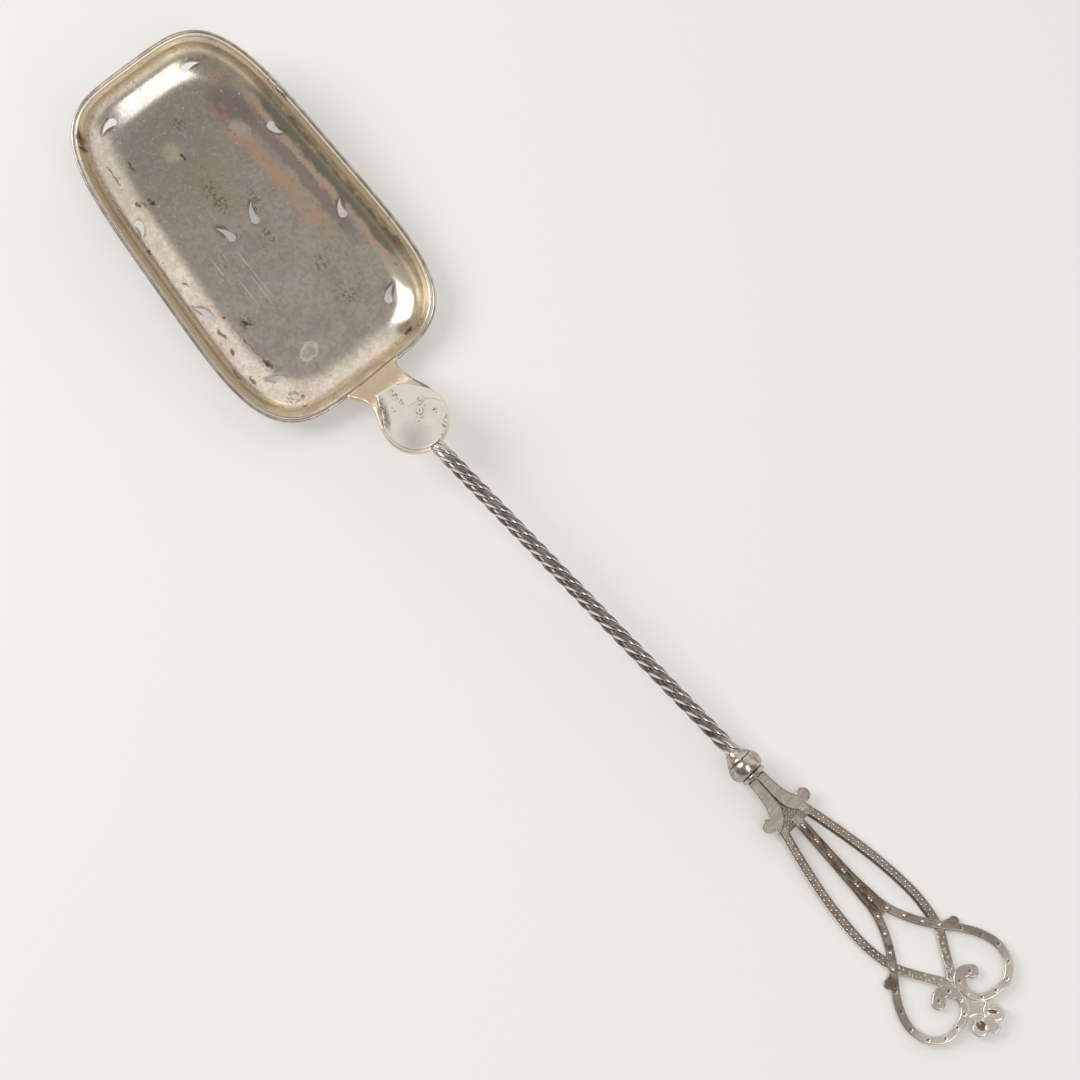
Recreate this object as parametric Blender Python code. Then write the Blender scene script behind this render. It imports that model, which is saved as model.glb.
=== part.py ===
"""Fish server: pierced bowl, lapped neck, rope stem, turned knop and pierced handle plate.

The constants are millimetres and the meshes are metres. +X runs from the bowl to the tip of the handle and
+Z is up. The server lies as it does on a table: on the heel of its bowl and the back of its handle plate.
The origin is under the middle of its bounding box, at table level.
"""
import math

import bpy
from mathutils import Matrix, Vector
from mathutils.geometry import delaunay_2d_cdt, interpolate_bezier

MM = 0.001
GAP = 0.3
OVERLAP = 1.0
WELD_DISTANCE = 0.0001
SHARP_ANGLE = math.radians(35.0)
WIRE_BEVEL_RESOLUTION = 2

# Finishes: colour and roughness
BRIGHT_SILVER = ((0.80, 0.78, 0.74), 0.22)
WORN_SILVER = ((0.66, 0.63, 0.58), 0.34)
GILT_SILVER = ((0.72, 0.64, 0.46), 0.30)

# Bowl, in its own frame: p runs along it towards the handle, q across it, h up from its underside
BOWL_HALF_LENGTH = 44.05
BOWL_HALF_WIDTH = 25.2
BOWL_TAPER = 0.046
BOWL_SQUARENESS = 4.18
BOWL_DEPTH = 7.5
BOWL_SHEET = 0.9
WALL_LEAN = math.radians(18.0)
FILLET_RADIUS = 8.5
FILLET_STEPS = 7
RIM_POINTS = 72
BOWL_CENTRE = (-96.9, 3.9)
BOWL_PITCH = math.radians(9.0)
BOWL_SKEW = math.radians(-4.8)

# Comma holes: head centre (p, q), tail tip (p, q), side the tail bows to, q that the pair is mirrored across
COMMAS = [
    ((-37.3, 10.2), (-36.1, 14.0), 1, 0.4),
    ((-15.3, 18.8), (-12.0, 20.3), -1, -0.6),
    ((10.4, 19.3), (7.2, 21.0), 1, -0.5),
    ((32.1, 15.2), (30.0, 18.4), 1, -0.2),
    ((-0.4, 3.4), (-4.5, 5.3), 1, -1.2),
]
COMMA_HEAD_RADIUS = 1.0
COMMA_BOW = 0.9
COMMA_TAPER = 0.5
COMMA_PULL = 0.67
COMMA_STEPS = 5
CUTTER_BELOW = 2.0

RIM_WIRE_RADIUS = 0.35
RIM_WIRE_DROP = 0.6
RIM_WIRE_POINTS = 90

# Neck strap: profile of its upper face in x and z, then its plan
NECK_THICKNESS = 1.3
NECK_RISE_ANGLE = math.radians(40.0)
NECK_START_HANDLE = 4.5
NECK_END_HANDLE = 4.0
NECK_END_X = -43.0
NECK_CURVE_STEPS = 12
NECK_ROOT_HALF_WIDTH = 6.4
NECK_WAIST_HALF_WIDTH = 5.45
NECK_WAIST_X = -44.9
NECK_ROOT_Y = 0.1
NECK_SHOULDER_HALF_WIDTH = 7.3
NECK_SHOULDER_X = -38.4
NECK_DISC_RADIUS = 7.7
NECK_CELL = 1.2

PAD_CENTRE = (-36.1, -0.7)
PAD_RADIUS = 7.3
PAD_THICKNESS = 1.4
PAD_TOP = 17.3
PAD_SHOULDER = [(-45.2, 3.1), (-43.8, 3.65), (-41.6, 5.0), (-40.3, 5.85), (-38.4, 6.85), (-36.1, 7.25)]
PAD_ROOT_HALF_WIDTH = 2.0
PAD_SIDES = 40

# Rope stem: a straight axis from the pad to the knop
STEM_START = Vector((-27.6, -1.5, 15.6))
STEM_END = Vector((64.35, 0.0, 5.3))
WIRE_DIAMETER = 1.3
WIRE_ORBIT = 1.08
WIRE_PITCH = 15.2
WIRE_COUNT = 4
WIRE_STEPS_PER_TURN = 12
WIRE_INTO_KNOP = 1.6

# Knop: profiles as (distance along the stem axis from its end, radius)
KNOP_BORE = 2.05
RING_PROFILE = [(0.0, 2.3), (0.5, 2.4), (1.15, 2.75), (1.65, 3.1), (1.95, 3.15)]
COLLAR_PROFILE = [(6.0, 2.75), (6.2, 2.95), (6.5, 3.0), (6.75, 2.95), (6.9, 2.75)]
BEAD_START = 2.25
BEAD_END = 5.7
BEAD_END_RADIUS = 3.25
BEAD_BULGE = 0.75
BEAD_STEPS = 10
TURNED_SIDES = 32

# Handle plate: middle height and slope at its start, then a bend that levels it on the table
PLATE_START_X = 71.5
PLATE_START_Z = 4.5
PLATE_START_SLOPE = -0.16
PLATE_THICKNESS = 1.6
PLATE_STEP = 1.8
TANG_START_X = 67.0
TANG_HALF_WIDTH = 1.3
LEAF_EDGE = [(71.5, 2.35), (75.0, 2.6), (78.0, 3.1), (80.5, 4.2), (83.0, 4.6), (85.2, 4.9)]
LEAF_LOBE = (81.2, 5.05, 1.7)
STRAP = [(83.0, 3.0), (85.6, 4.1), (94.2, 6.1), (102.9, 7.5), (111.5, 8.0), (116.8, 7.65), (121.8, 6.6),
         (126.4, 4.15), (130.2, 1.75), (132.6, 0.1)]
STRAP_WIDTH = 2.25
SPINE_EDGE = [(83.0, 1.2), (94.0, 1.3), (102.0, 1.5), (108.0, 1.9), (112.0, 1.6)]
BRANCH = [(104.0, 0.5), (108.0, 0.85), (111.5, 1.5), (115.2, 2.9), (118.9, 4.9), (121.9, 7.05),
          (125.5, 9.95), (129.4, 12.25), (133.6, 13.3), (137.7, 12.3), (140.2, 9.35), (140.35, 5.9),
          (139.6, 3.2), (138.3, 1.75), (136.6, 1.05), (134.8, 1.05), (133.4, 1.7)]
BRANCH_WIDTH = 2.05
CROSS_LOBE = (123.5, 9.85, 1.3)
VOLUTE_LOBE = (133.76, 5.05, 1.6)
VOLUTE = [(134.4, 1.2), (133.1, 2.0), (132.65, 3.3), (133.1, 4.5), (133.75, 5.05)]
VOLUTE_WIDTH = 2.9
FINIAL_PANEL = [(132.0, 0.0), (136.0, -1.6), (140.5, -2.6), (143.4, -1.4), (143.4, 1.4), (140.5, 2.6),
                (136.0, 1.6)]
FINIAL_LOBE = (143.8, 2.4, 1.95)
FINIAL_TIP = [(142.6, -1.1), (145.6, -1.35), (146.9, -0.9), (146.9, 0.9), (145.6, 1.35), (142.6, 1.1)]
LOBE_SIDES = 18


def clear_scene():
    for obj in list(bpy.data.objects):
        bpy.data.objects.remove(obj, do_unlink=True)


def material(name, finish):
    colour, roughness = finish
    mat = bpy.data.materials.new(name)
    mat.use_nodes = True
    shader = mat.node_tree.nodes["Principled BSDF"]
    shader.inputs["Base Color"].default_value = (*colour, 1.0)
    shader.inputs["Roughness"].default_value = roughness
    shader.inputs["Metallic"].default_value = 1.0
    mat.diffuse_color = (*colour, 1.0)
    return mat


def add_object(name, data, mat, parent):
    obj = bpy.data.objects.new(name, data)
    bpy.context.collection.objects.link(obj)
    data.materials.append(mat)
    obj.parent = parent
    return obj


def solid(name, points, faces, mat, parent):
    mesh = bpy.data.meshes.new(name)
    mesh.from_pydata([Vector(p) * MM for p in points], [], faces)
    mesh.validate()
    mesh.shade_smooth()
    mesh.set_sharp_from_angle(angle=SHARP_ANGLE)
    return add_object(name, mesh, mat, parent)


def tube(name, points, radius, mat, parent):
    """A round wire along a list of points, with closed ends."""
    curve = bpy.data.curves.new(name, "CURVE")
    curve.dimensions = "3D"
    curve.bevel_depth = radius * MM
    curve.bevel_resolution = WIRE_BEVEL_RESOLUTION
    curve.use_fill_caps = True
    spline = curve.splines.new("POLY")
    spline.points.add(len(points) - 1)
    for spline_point, point in zip(spline.points, points):
        spline_point.co = (*(Vector(point) * MM), 1.0)
    return add_object(name, curve, mat, parent)


def smooth_path(points, step):
    """Points about one step apart on a smooth curve through the given plan points."""
    padded = [2 * Vector(points[0]) - Vector(points[1]), *map(Vector, points),
              2 * Vector(points[-1]) - Vector(points[-2])]
    path = []
    for before, start, end, after in zip(padded, padded[1:], padded[2:], padded[3:]):
        count = max(2, math.ceil((end - start).length / step))
        handles = (start, start + (end - before) / 6, end - (after - start) / 6, end)
        path += interpolate_bezier(*handles, count + 1)[:-1]
    return [*path, padded[-2]]


def mirrored(points):
    return [(x, -y) for x, y in points]


def circle(x, y, radius, sides=LOBE_SIDES):
    angles = [2 * math.pi * i / sides for i in range(sides)]
    return [(x + radius * math.cos(a), y + radius * math.sin(a)) for a in angles]


def ribbon(points, width, step):
    """Four-sided cells of a strap of even width along a smooth plan curve."""
    path = [Vector(p).to_2d() for p in smooth_path([(*p, 0.0) for p in points], step)]
    sides = []
    for i, point in enumerate(path):
        along = path[min(i + 1, len(path) - 1)] - path[max(i - 1, 0)]
        across = along.normalized().orthogonal() * width / 2
        sides.append((point + across, point - across))
    return [[a[0], a[1], b[1], b[0]] for a, b in zip(sides, sides[1:])]


def plan_union(polygons):
    """Points and triangles of everything that any of the polygons covers."""
    points = []
    faces = []
    for polygon in polygons:
        corners = [Vector(p).to_2d() for p in polygon]
        area = sum(a.cross(b) for a, b in zip(corners, corners[1:] + corners[:1]))
        faces.append(list(range(len(points), len(points) + len(corners))))
        points += corners if area > 0 else corners[::-1]
    verts, _, triangles, _, _, sources = delaunay_2d_cdt(points, [], faces, 0, WELD_DISTANCE)
    kept = [list(tri) for tri, source in zip(triangles, sources) if source]
    used = sorted({v for tri in kept for v in tri})
    place = {v: i for i, v in enumerate(used)}
    return [verts[v] for v in used], [[place[v] for v in tri] for tri in kept]


def bent_plate(name, polygons, thickness, bend, mat, parent):
    """A plate of even thickness over the polygons; bend places (x, y, height above the middle)."""
    plan, triangles = plan_union(polygons)
    count = len(plan)
    points = [bend(p.x, p.y, thickness / 2) for p in plan]
    points += [bend(p.x, p.y, -thickness / 2) for p in plan]
    edges = {(a, b) for tri in triangles for a, b in zip(tri, tri[1:] + tri[:1])}
    rim = [(a, b) for a, b in edges if (b, a) not in edges]
    faces = triangles + [[v + count for v in tri[::-1]] for tri in triangles]
    faces += [[b, a, a + count, b + count] for a, b in rim]
    return solid(name, points, faces, mat, parent)


def bowl_frame():
    """Places bowl coordinates: pitched so that the far end is up, turned, with the heel on the table."""
    heel = BOWL_HALF_LENGTH - floor_inset()
    heel_height = heel * math.sin(BOWL_PITCH) + FILLET_RADIUS * (1 - math.cos(BOWL_PITCH))
    place = Matrix.Translation((*BOWL_CENTRE, heel_height))
    return place @ Matrix.Rotation(BOWL_SKEW, 4, "Z") @ Matrix.Rotation(BOWL_PITCH, 4, "Y")


def floor_inset():
    wall_foot = FILLET_RADIUS * (1 - math.sin(WALL_LEAN))
    return (BOWL_DEPTH - wall_foot) * math.tan(WALL_LEAN) + FILLET_RADIUS * math.cos(WALL_LEAN)


def rim_point(turn, inset):
    """A point of the rounded, tapered rim outline, moved in by the inset."""
    cos_t = math.cos(turn)
    sin_t = math.sin(turn)
    power = 2 / BOWL_SQUARENESS
    p = (BOWL_HALF_LENGTH - inset) * math.copysign(abs(cos_t) ** power, cos_t)
    half_width = BOWL_HALF_WIDTH + BOWL_TAPER * p - inset
    return p, half_width * math.copysign(abs(sin_t) ** power, sin_t)


def wall_section(offset):
    """Inset and height of one face of the sheet, from the floor's edge up to the rim."""
    radius = FILLET_RADIUS - offset
    section = []
    for i in range(FILLET_STEPS + 1):
        angle = (math.pi / 2 - WALL_LEAN) * i / FILLET_STEPS
        section.append((floor_inset() - radius * math.sin(angle), FILLET_RADIUS - radius * math.cos(angle)))
    return [*section, (offset / math.cos(WALL_LEAN), BOWL_DEPTH)]


def comma_outline(head, tail, bow):
    """Closed plan outline of a comma: a round head whose sides run to one tip, both bowed the same way."""
    head = Vector(head)
    tail = Vector(tail)
    along = (tail - head).normalized()
    across = Vector((-along.y, along.x))
    middle = head.lerp(tail, 0.5) + across * COMMA_BOW * bow
    outline = []
    for side in (1, -1):
        start = head + across * COMMA_HEAD_RADIUS * side
        handle = middle + across * COMMA_HEAD_RADIUS * COMMA_TAPER * side
        handles = (start, start.lerp(handle, COMMA_PULL), tail.lerp(handle, COMMA_PULL), tail)
        curve = [c.to_2d() for c in interpolate_bezier(*[h.to_3d() for h in handles], COMMA_STEPS + 1)]
        outline += curve if side == 1 else curve[-2::-1]
    first = math.atan2(-across.y, -across.x)
    for i in range(1, 2 * COMMA_STEPS):
        angle = first - math.pi * i / (2 * COMMA_STEPS)
        outline.append(head + COMMA_HEAD_RADIUS * Vector((math.cos(angle), math.sin(angle))))
    return outline


def comma_cutter(mat, parent):
    """All the comma holes as upright prisms through the bowl."""
    points = []
    faces = []
    for head, tail, bow, axis in COMMAS:
        for side in (1, -1):
            ends = [(p, q * side + axis) for p, q in (head, tail)]
            outline = comma_outline(*ends, bow * side)
            count = len(outline)
            base = len(points)
            area = sum(a.cross(b) for a, b in zip(outline, outline[1:] + outline[:1]))
            if area < 0:
                outline = outline[::-1]
            points += [(*c, -CUTTER_BELOW) for c in outline] + [(*c, BOWL_DEPTH) for c in outline]
            faces.append([base + i for i in reversed(range(count))])
            faces.append([base + count + i for i in range(count)])
            for i in range(count):
                j = (i + 1) % count
                faces.append([base + i, base + j, base + count + j, base + count + i])
    cutter = solid("comma_cutter", points, faces, mat, parent)
    cutter.hide_render = True
    cutter.display_type = "WIRE"
    return cutter


def build_bowl(mat, parent):
    rings = [*wall_section(0.0), *wall_section(BOWL_SHEET)[::-1]]
    turns = [2 * math.pi * (i + 0.5) / RIM_POINTS for i in range(RIM_POINTS)]
    points = [(*rim_point(turn, inset), height) for inset, height in rings for turn in turns]
    last = (len(rings) - 1) * RIM_POINTS
    faces = [list(reversed(range(RIM_POINTS))), [last + i for i in range(RIM_POINTS)]]
    for ring in range(len(rings) - 1):
        base = ring * RIM_POINTS
        for i in range(RIM_POINTS):
            j = (i + 1) % RIM_POINTS
            faces.append([base + i, base + j, base + RIM_POINTS + j, base + RIM_POINTS + i])
    bowl = solid("bowl", points, faces, mat, parent)
    cutter = comma_cutter(mat, parent)
    for obj in (bowl, cutter):
        obj.matrix_local = metres(bowl_frame())
    holes = bowl.modifiers.new("holes", "BOOLEAN")
    holes.object = cutter
    holes.solver = "EXACT"


def metres(matrix):
    scaled = matrix.copy()
    scaled.translation *= MM
    return scaled


def build_rim_wire(mat, parent):
    """A wire just outside the rim, from one side of the neck round the far end to the other side."""
    place = bowl_frame()
    near_half_width = BOWL_HALF_WIDTH + BOWL_TAPER * BOWL_HALF_LENGTH
    neck_middle = NECK_ROOT_Y - (place @ Vector((BOWL_HALF_LENGTH, 0.0, BOWL_DEPTH))).y
    opening = NECK_ROOT_HALF_WIDTH + GAP + RIM_WIRE_RADIUS
    start, end = [math.asin((q / near_half_width) ** (BOWL_SQUARENESS / 2))
                  for q in (opening + neck_middle, opening - neck_middle)]
    points = []
    for i in range(RIM_WIRE_POINTS + 1):
        turn = start + (2 * math.pi - start - end) * i / RIM_WIRE_POINTS
        outline = rim_point(turn, -RIM_WIRE_RADIUS - GAP)
        points.append(place @ Vector((*outline, BOWL_DEPTH - RIM_WIRE_DROP)))
    tube("rim_wire", points, RIM_WIRE_RADIUS, mat, parent)


def stem_direction():
    return (STEM_END - STEM_START).normalized()


def pad_height(x):
    """Height of the pad's upper face: it lies in line with the stem."""
    along = stem_direction()
    return PAD_TOP + (x - PAD_CENTRE[0]) * along.z / along.x


def neck_profile():
    """Upper face of the neck strap from the rim to the far edge of its disc, as points in x and z."""
    root = bowl_frame() @ Vector((BOWL_HALF_LENGTH, 0.0, BOWL_DEPTH))
    start = Vector((root.x + GAP, 0.0, root.z))
    slope = stem_direction()
    lapped = PAD_THICKNESS + GAP
    end = Vector((NECK_END_X, 0.0, pad_height(NECK_END_X) - lapped))
    rise = Vector((math.cos(NECK_RISE_ANGLE), 0.0, math.sin(NECK_RISE_ANGLE)))
    level = Vector((slope.x, 0.0, slope.z)).normalized()
    curve = interpolate_bezier(start, start + rise * NECK_START_HANDLE, end - level * NECK_END_HANDLE, end,
                               NECK_CURVE_STEPS + 1)
    tip_x = PAD_CENTRE[0] + NECK_DISC_RADIUS + OVERLAP
    return [*curve, Vector((tip_x, 0.0, pad_height(tip_x) - lapped))]


def along_profile(profile, length):
    """Point and unit direction at a length along a profile."""
    for start, end in zip(profile, profile[1:]):
        span = (end - start).length
        if length <= span or end is profile[-1]:
            return start + (end - start) * (length / span), (end - start).normalized()
        length -= span


def build_neck(mat, parent):
    profile = neck_profile()
    lengths = [0.0]
    for a, b in zip(profile, profile[1:]):
        lengths.append(lengths[-1] + (b - a).length)

    def unrolled(x):
        for i in range(1, len(profile)):
            if x <= profile[i].x or i == len(profile) - 1:
                share = (x - profile[i - 1].x) / (profile[i].x - profile[i - 1].x)
                return lengths[i - 1] + share * (lengths[i] - lengths[i - 1])

    waist = unrolled(NECK_WAIST_X)
    shoulder = unrolled(NECK_SHOULDER_X)
    disc = unrolled(PAD_CENTRE[0])

    def half_width(s):
        flare = (1 - min(1.0, s / waist)) ** 2
        flow = min(1.0, max(0.0, (s - waist) / (shoulder - waist)))
        flow = flow * flow * (3 - 2 * flow)
        return (NECK_WAIST_HALF_WIDTH + (NECK_ROOT_HALF_WIDTH - NECK_WAIST_HALF_WIDTH) * flare
                + (NECK_SHOULDER_HALF_WIDTH - NECK_WAIST_HALF_WIDTH) * flow)

    def bend(s, y, height):
        share = max(0.0, min(1.0, s / disc))
        skewed = s + (1 - share) * y * math.tan(-BOWL_SKEW)
        point, along = along_profile(profile, skewed)
        normal = Vector((-along.z, 0.0, along.x))
        placed = point + normal * (height - NECK_THICKNESS / 2)
        placed.y = y + NECK_ROOT_Y + (PAD_CENTRE[1] - NECK_ROOT_Y) * share
        return placed

    steps = math.ceil(shoulder / NECK_CELL)
    stations = [*[shoulder * i / steps for i in range(steps + 1)], disc]
    cells = []
    for a, b in zip(stations, stations[1:]):
        cells.append([(a, -half_width(a)), (b, -half_width(b)), (b, half_width(b)), (a, half_width(a))])
    polygons = [*cells, circle(disc, 0.0, NECK_DISC_RADIUS, PAD_SIDES)]
    bent_plate("neck_strap", polygons, NECK_THICKNESS, bend, mat, parent)


def build_pad(mat, parent):
    centre_x, centre_y = PAD_CENTRE
    disc = circle(centre_x, centre_y, PAD_RADIUS, PAD_SIDES)
    shoulder = [(x, centre_y + half) for x, half in PAD_SHOULDER]
    shoulder += [(x, centre_y - half) for x, half in PAD_SHOULDER[::-1]]
    root_x = STEM_START.x - GAP
    root = [(centre_x, STEM_START.y - PAD_ROOT_HALF_WIDTH), (root_x, STEM_START.y - PAD_ROOT_HALF_WIDTH),
            (root_x, STEM_START.y + PAD_ROOT_HALF_WIDTH), (centre_x, STEM_START.y + PAD_ROOT_HALF_WIDTH)]
    slope = stem_direction()
    normal = Vector((-slope.z, 0.0, slope.x)).normalized()

    def bend(x, y, height):
        return Vector((x, y, pad_height(x))) + normal * (height - PAD_THICKNESS / 2)

    bent_plate("stem_pad", [disc, shoulder, root], PAD_THICKNESS, bend, mat, parent)


def build_stem(mat, parent):
    """Four round wires that wind about the stem's axis a quarter turn apart."""
    along = stem_direction()
    side = along.orthogonal().normalized()
    up = along.cross(side)
    length = (STEM_END - STEM_START).length + WIRE_INTO_KNOP
    steps = math.ceil(length / WIRE_PITCH * WIRE_STEPS_PER_TURN)
    for wire in range(WIRE_COUNT):
        points = []
        for i in range(steps + 1):
            distance = length * i / steps
            angle = 2 * math.pi * (wire / WIRE_COUNT - distance / WIRE_PITCH)
            around = side * math.cos(angle) + up * math.sin(angle)
            points.append(STEM_START + along * distance + around * WIRE_ORBIT)
        tube(f"stem_wire_{wire + 1}", points, WIRE_DIAMETER / 2, mat, parent)


def turned(name, profile, mat, parent):
    """A ring turned about the stem's axis, with the knop's bore."""
    along = stem_direction()
    side = along.orthogonal().normalized()
    up = along.cross(side)
    section = [(profile[0][0], KNOP_BORE), *profile, (profile[-1][0], KNOP_BORE)]
    count = len(section)
    points = []
    faces = []
    for i in range(TURNED_SIDES):
        angle = 2 * math.pi * i / TURNED_SIDES
        around = side * math.cos(angle) + up * math.sin(angle)
        points += [STEM_END + along * distance + around * radius for distance, radius in section]
        after = (i + 1) % TURNED_SIDES
        for j in range(count):
            k = (j + 1) % count
            faces.append([i * count + j, after * count + j, after * count + k, i * count + k])
    solid(name, points, faces, mat, parent)


def bead_profile():
    profile = []
    for i in range(BEAD_STEPS + 1):
        share = i / BEAD_STEPS
        distance = BEAD_START + (BEAD_END - BEAD_START) * share
        profile.append((distance, BEAD_END_RADIUS + BEAD_BULGE * math.sqrt(math.sin(math.pi * share))))
    return profile


def plate_bend(x, y, height):
    """The plate runs down from the knop and levels out with its underside on the table."""
    fall = PLATE_START_Z - PLATE_THICKNESS / 2
    curvature = PLATE_START_SLOPE ** 2 / (4 * fall)
    run = x - PLATE_START_X
    z = PLATE_START_Z + PLATE_START_SLOPE * run + curvature * run ** 2
    angle = math.atan(PLATE_START_SLOPE + 2 * curvature * run)
    return Vector((x - height * math.sin(angle), y, z + height * math.cos(angle)))


def handle_polygons():
    leaf = [*LEAF_EDGE, *mirrored(LEAF_EDGE[::-1])]
    tang_end = PLATE_START_X + OVERLAP
    tang = [(TANG_START_X, -TANG_HALF_WIDTH), (tang_end, -TANG_HALF_WIDTH),
            (tang_end, TANG_HALF_WIDTH), (TANG_START_X, TANG_HALF_WIDTH)]
    spine = [*SPINE_EDGE, *mirrored(SPINE_EDGE[::-1])]
    polygons = [leaf, tang, spine, FINIAL_PANEL, FINIAL_TIP]
    for side in (1, -1):
        for x, y, radius in (LEAF_LOBE, CROSS_LOBE, VOLUTE_LOBE, FINIAL_LOBE):
            polygons.append(circle(x, y * side, radius))
        for path, width in ((STRAP, STRAP_WIDTH), (BRANCH, BRANCH_WIDTH), (VOLUTE, VOLUTE_WIDTH)):
            polygons += ribbon([(x, y * side) for x, y in path], width, PLATE_STEP)
    return polygons


def centre_on_table(parent):
    """Moves the whole server so that the middle of its box is over the origin."""
    bpy.context.view_layer.update()
    graph = bpy.context.evaluated_depsgraph_get()
    corners = []
    for obj in parent.children:
        if not obj.hide_render:
            shape = obj.evaluated_get(graph)
            corners += [shape.matrix_world @ vertex.co for vertex in shape.to_mesh().vertices]
    for axis in (0, 1):
        values = [corner[axis] for corner in corners]
        parent.location[axis] = -(min(values) + max(values)) / 2
    parent.location.z = -min(corner.z for corner in corners)
    bpy.context.view_layer.update()


def main():
    clear_scene()
    server = bpy.data.objects.new("server", None)
    bpy.context.collection.objects.link(server)
    bright = material("silver_bright", BRIGHT_SILVER)
    worn = material("silver_worn", WORN_SILVER)
    gilt = material("silver_gilt", GILT_SILVER)
    build_bowl(worn, server)
    build_rim_wire(bright, server)
    build_neck(gilt, server)
    build_pad(bright, server)
    build_stem(bright, server)
    turned("knop_ring", RING_PROFILE, bright, server)
    turned("knop_bead", bead_profile(), bright, server)
    turned("knop_collar", COLLAR_PROFILE, bright, server)
    bent_plate("handle_plate", handle_polygons(), PLATE_THICKNESS, plate_bend, worn, server)
    centre_on_table(server)


main()
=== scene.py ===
"""Looks of a fish server: pierced bowl, lapped neck, rope stem, turned knop and openwork handle plate.

Lengths are millimetres in the design frame, where the handle plate's middle line is y = 0. SHIFT takes them
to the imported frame. The bowl has a frame of its own: p along it towards the handle, q across it, h up.
"""
import math

import bpy
import numpy as np
from mathutils import Matrix, Vector
from mathutils.geometry import interpolate_bezier


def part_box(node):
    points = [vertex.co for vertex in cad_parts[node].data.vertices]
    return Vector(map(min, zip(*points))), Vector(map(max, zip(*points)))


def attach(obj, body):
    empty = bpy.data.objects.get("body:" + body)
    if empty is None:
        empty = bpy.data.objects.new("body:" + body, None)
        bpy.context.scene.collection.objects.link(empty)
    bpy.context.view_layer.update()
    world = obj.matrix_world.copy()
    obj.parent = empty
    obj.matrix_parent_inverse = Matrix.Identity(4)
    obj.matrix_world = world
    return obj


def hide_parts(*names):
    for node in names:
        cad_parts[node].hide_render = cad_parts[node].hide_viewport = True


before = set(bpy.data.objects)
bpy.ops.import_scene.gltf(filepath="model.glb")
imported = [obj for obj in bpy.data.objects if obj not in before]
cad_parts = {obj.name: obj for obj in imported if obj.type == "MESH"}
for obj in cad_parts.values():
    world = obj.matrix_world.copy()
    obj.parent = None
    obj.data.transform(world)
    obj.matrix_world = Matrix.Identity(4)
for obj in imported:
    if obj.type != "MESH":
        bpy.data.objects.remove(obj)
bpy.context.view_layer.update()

MM = 0.001
SMOOTH_ANGLE = math.radians(50.0)
MARGIN = 1.0
UNDER_CAVITY = 0.2

# Bowl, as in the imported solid, with its inner corner eased
BOWL_HALF_LENGTH = 44.05
BOWL_HALF_WIDTH = 25.2
BOWL_TAPER = 0.046
BOWL_SQUARENESS = 4.18
BOWL_DEPTH = 7.5
BOWL_SHEET = 0.9
WALL_LEAN = math.radians(18.0)
FILLET_RADIUS = 8.5
BOWL_CENTRE = (-96.9, 3.9)
BOWL_PITCH = math.radians(9.0)
BOWL_SKEW = math.radians(-4.8)
BOWL_TURNS = 440
FLOOR_RINGS = 20
FILLET_EASE = 1.5
FILLET_RINGS = 26
WALL_RINGS = 8
LIP_RINGS = 8
LIP_HEIGHT = 0.3
LIP_WIDTH = 0.5
RIPPLE = 0.02

# Comma holes: head centre (p, q), tail tip (p, q), side the tail bows to, q that the pair is mirrored across
COMMAS = [
    ((-37.3, 10.2), (-36.1, 14.0), 1, 0.4),
    ((-15.3, 18.8), (-12.0, 20.3), -1, -0.6),
    ((10.4, 19.3), (7.2, 21.0), 1, -0.5),
    ((32.1, 15.2), (30.0, 18.4), 1, -0.2),
    ((-0.4, 3.4), (-4.5, 5.3), 1, -1.2),
]
COMMA_HEAD_RADIUS = 1.0
COMMA_RING_REACH = 0.2
COMMA_BOW = 0.9
COMMA_TAPER = 0.5
COMMA_PULL = 0.67
COMMA_STEPS = 10
CUTTER_BELOW = 2.0

RIM_WIRE_RADIUS = 0.4
RIM_WIRE_OUT = 0.42
RIM_WIRE_DROP = 0.6
RIM_WIRE_POINTS = 420
RIM_WIRE_SIDES = 14
RIM_WIRE_END_SIZE = 0.55

# Neck strap: profile of its upper face in x and z, then its plan
NECK_GAP = 0.05
NECK_THICKNESS = 1.3
NECK_RISE_ANGLE = math.radians(40.0)
NECK_START_HANDLE = 4.5
NECK_END_HANDLE = 4.0
NECK_END_X = -43.0
NECK_PROFILE_POINTS = 41
NECK_ROOT_HALF_WIDTH = 6.4
NECK_WAIST_HALF_WIDTH = 5.45
NECK_WAIST_X = -44.9
NECK_ROOT_Y = 0.1
NECK_SHOULDER_HALF_WIDTH = 7.3
NECK_SHOULDER_X = -38.4
NECK_FLARE = 1.3
NECK_FLARE_LENGTH = 0.9
NECK_DISC_RADIUS = 7.7
NECK_EDGE = 0.5
NECK_SEAM = 0.5
NECK_STEP = 0.22

PAD_CENTRE = (-36.1, -0.7)
PAD_RADIUS = 7.3
PAD_THICKNESS = 1.4
PAD_TOP = 17.3
PAD_GAP = 0.06
PAD_SHOULDER = [(-45.2, 3.1), (-43.8, 3.65), (-41.6, 5.0), (-40.3, 5.85), (-38.4, 6.85), (-36.1, 7.25)]
PAD_SLANT = 0.17
PAD_SLANT_RUN = 2.0
PAD_EDGE = 0.55
PAD_LOWER_EDGE = 0.25
PAD_RIM = 0.5
PAD_RIM_CAVITY = 0.2
PAD_STEP = 0.2
PAD_LINE = [(-34.6, 6.3), (-36.6, 5.2), (-38.0, 3.4), (-38.6, 1.5), (-38.95, -0.2)]

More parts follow.
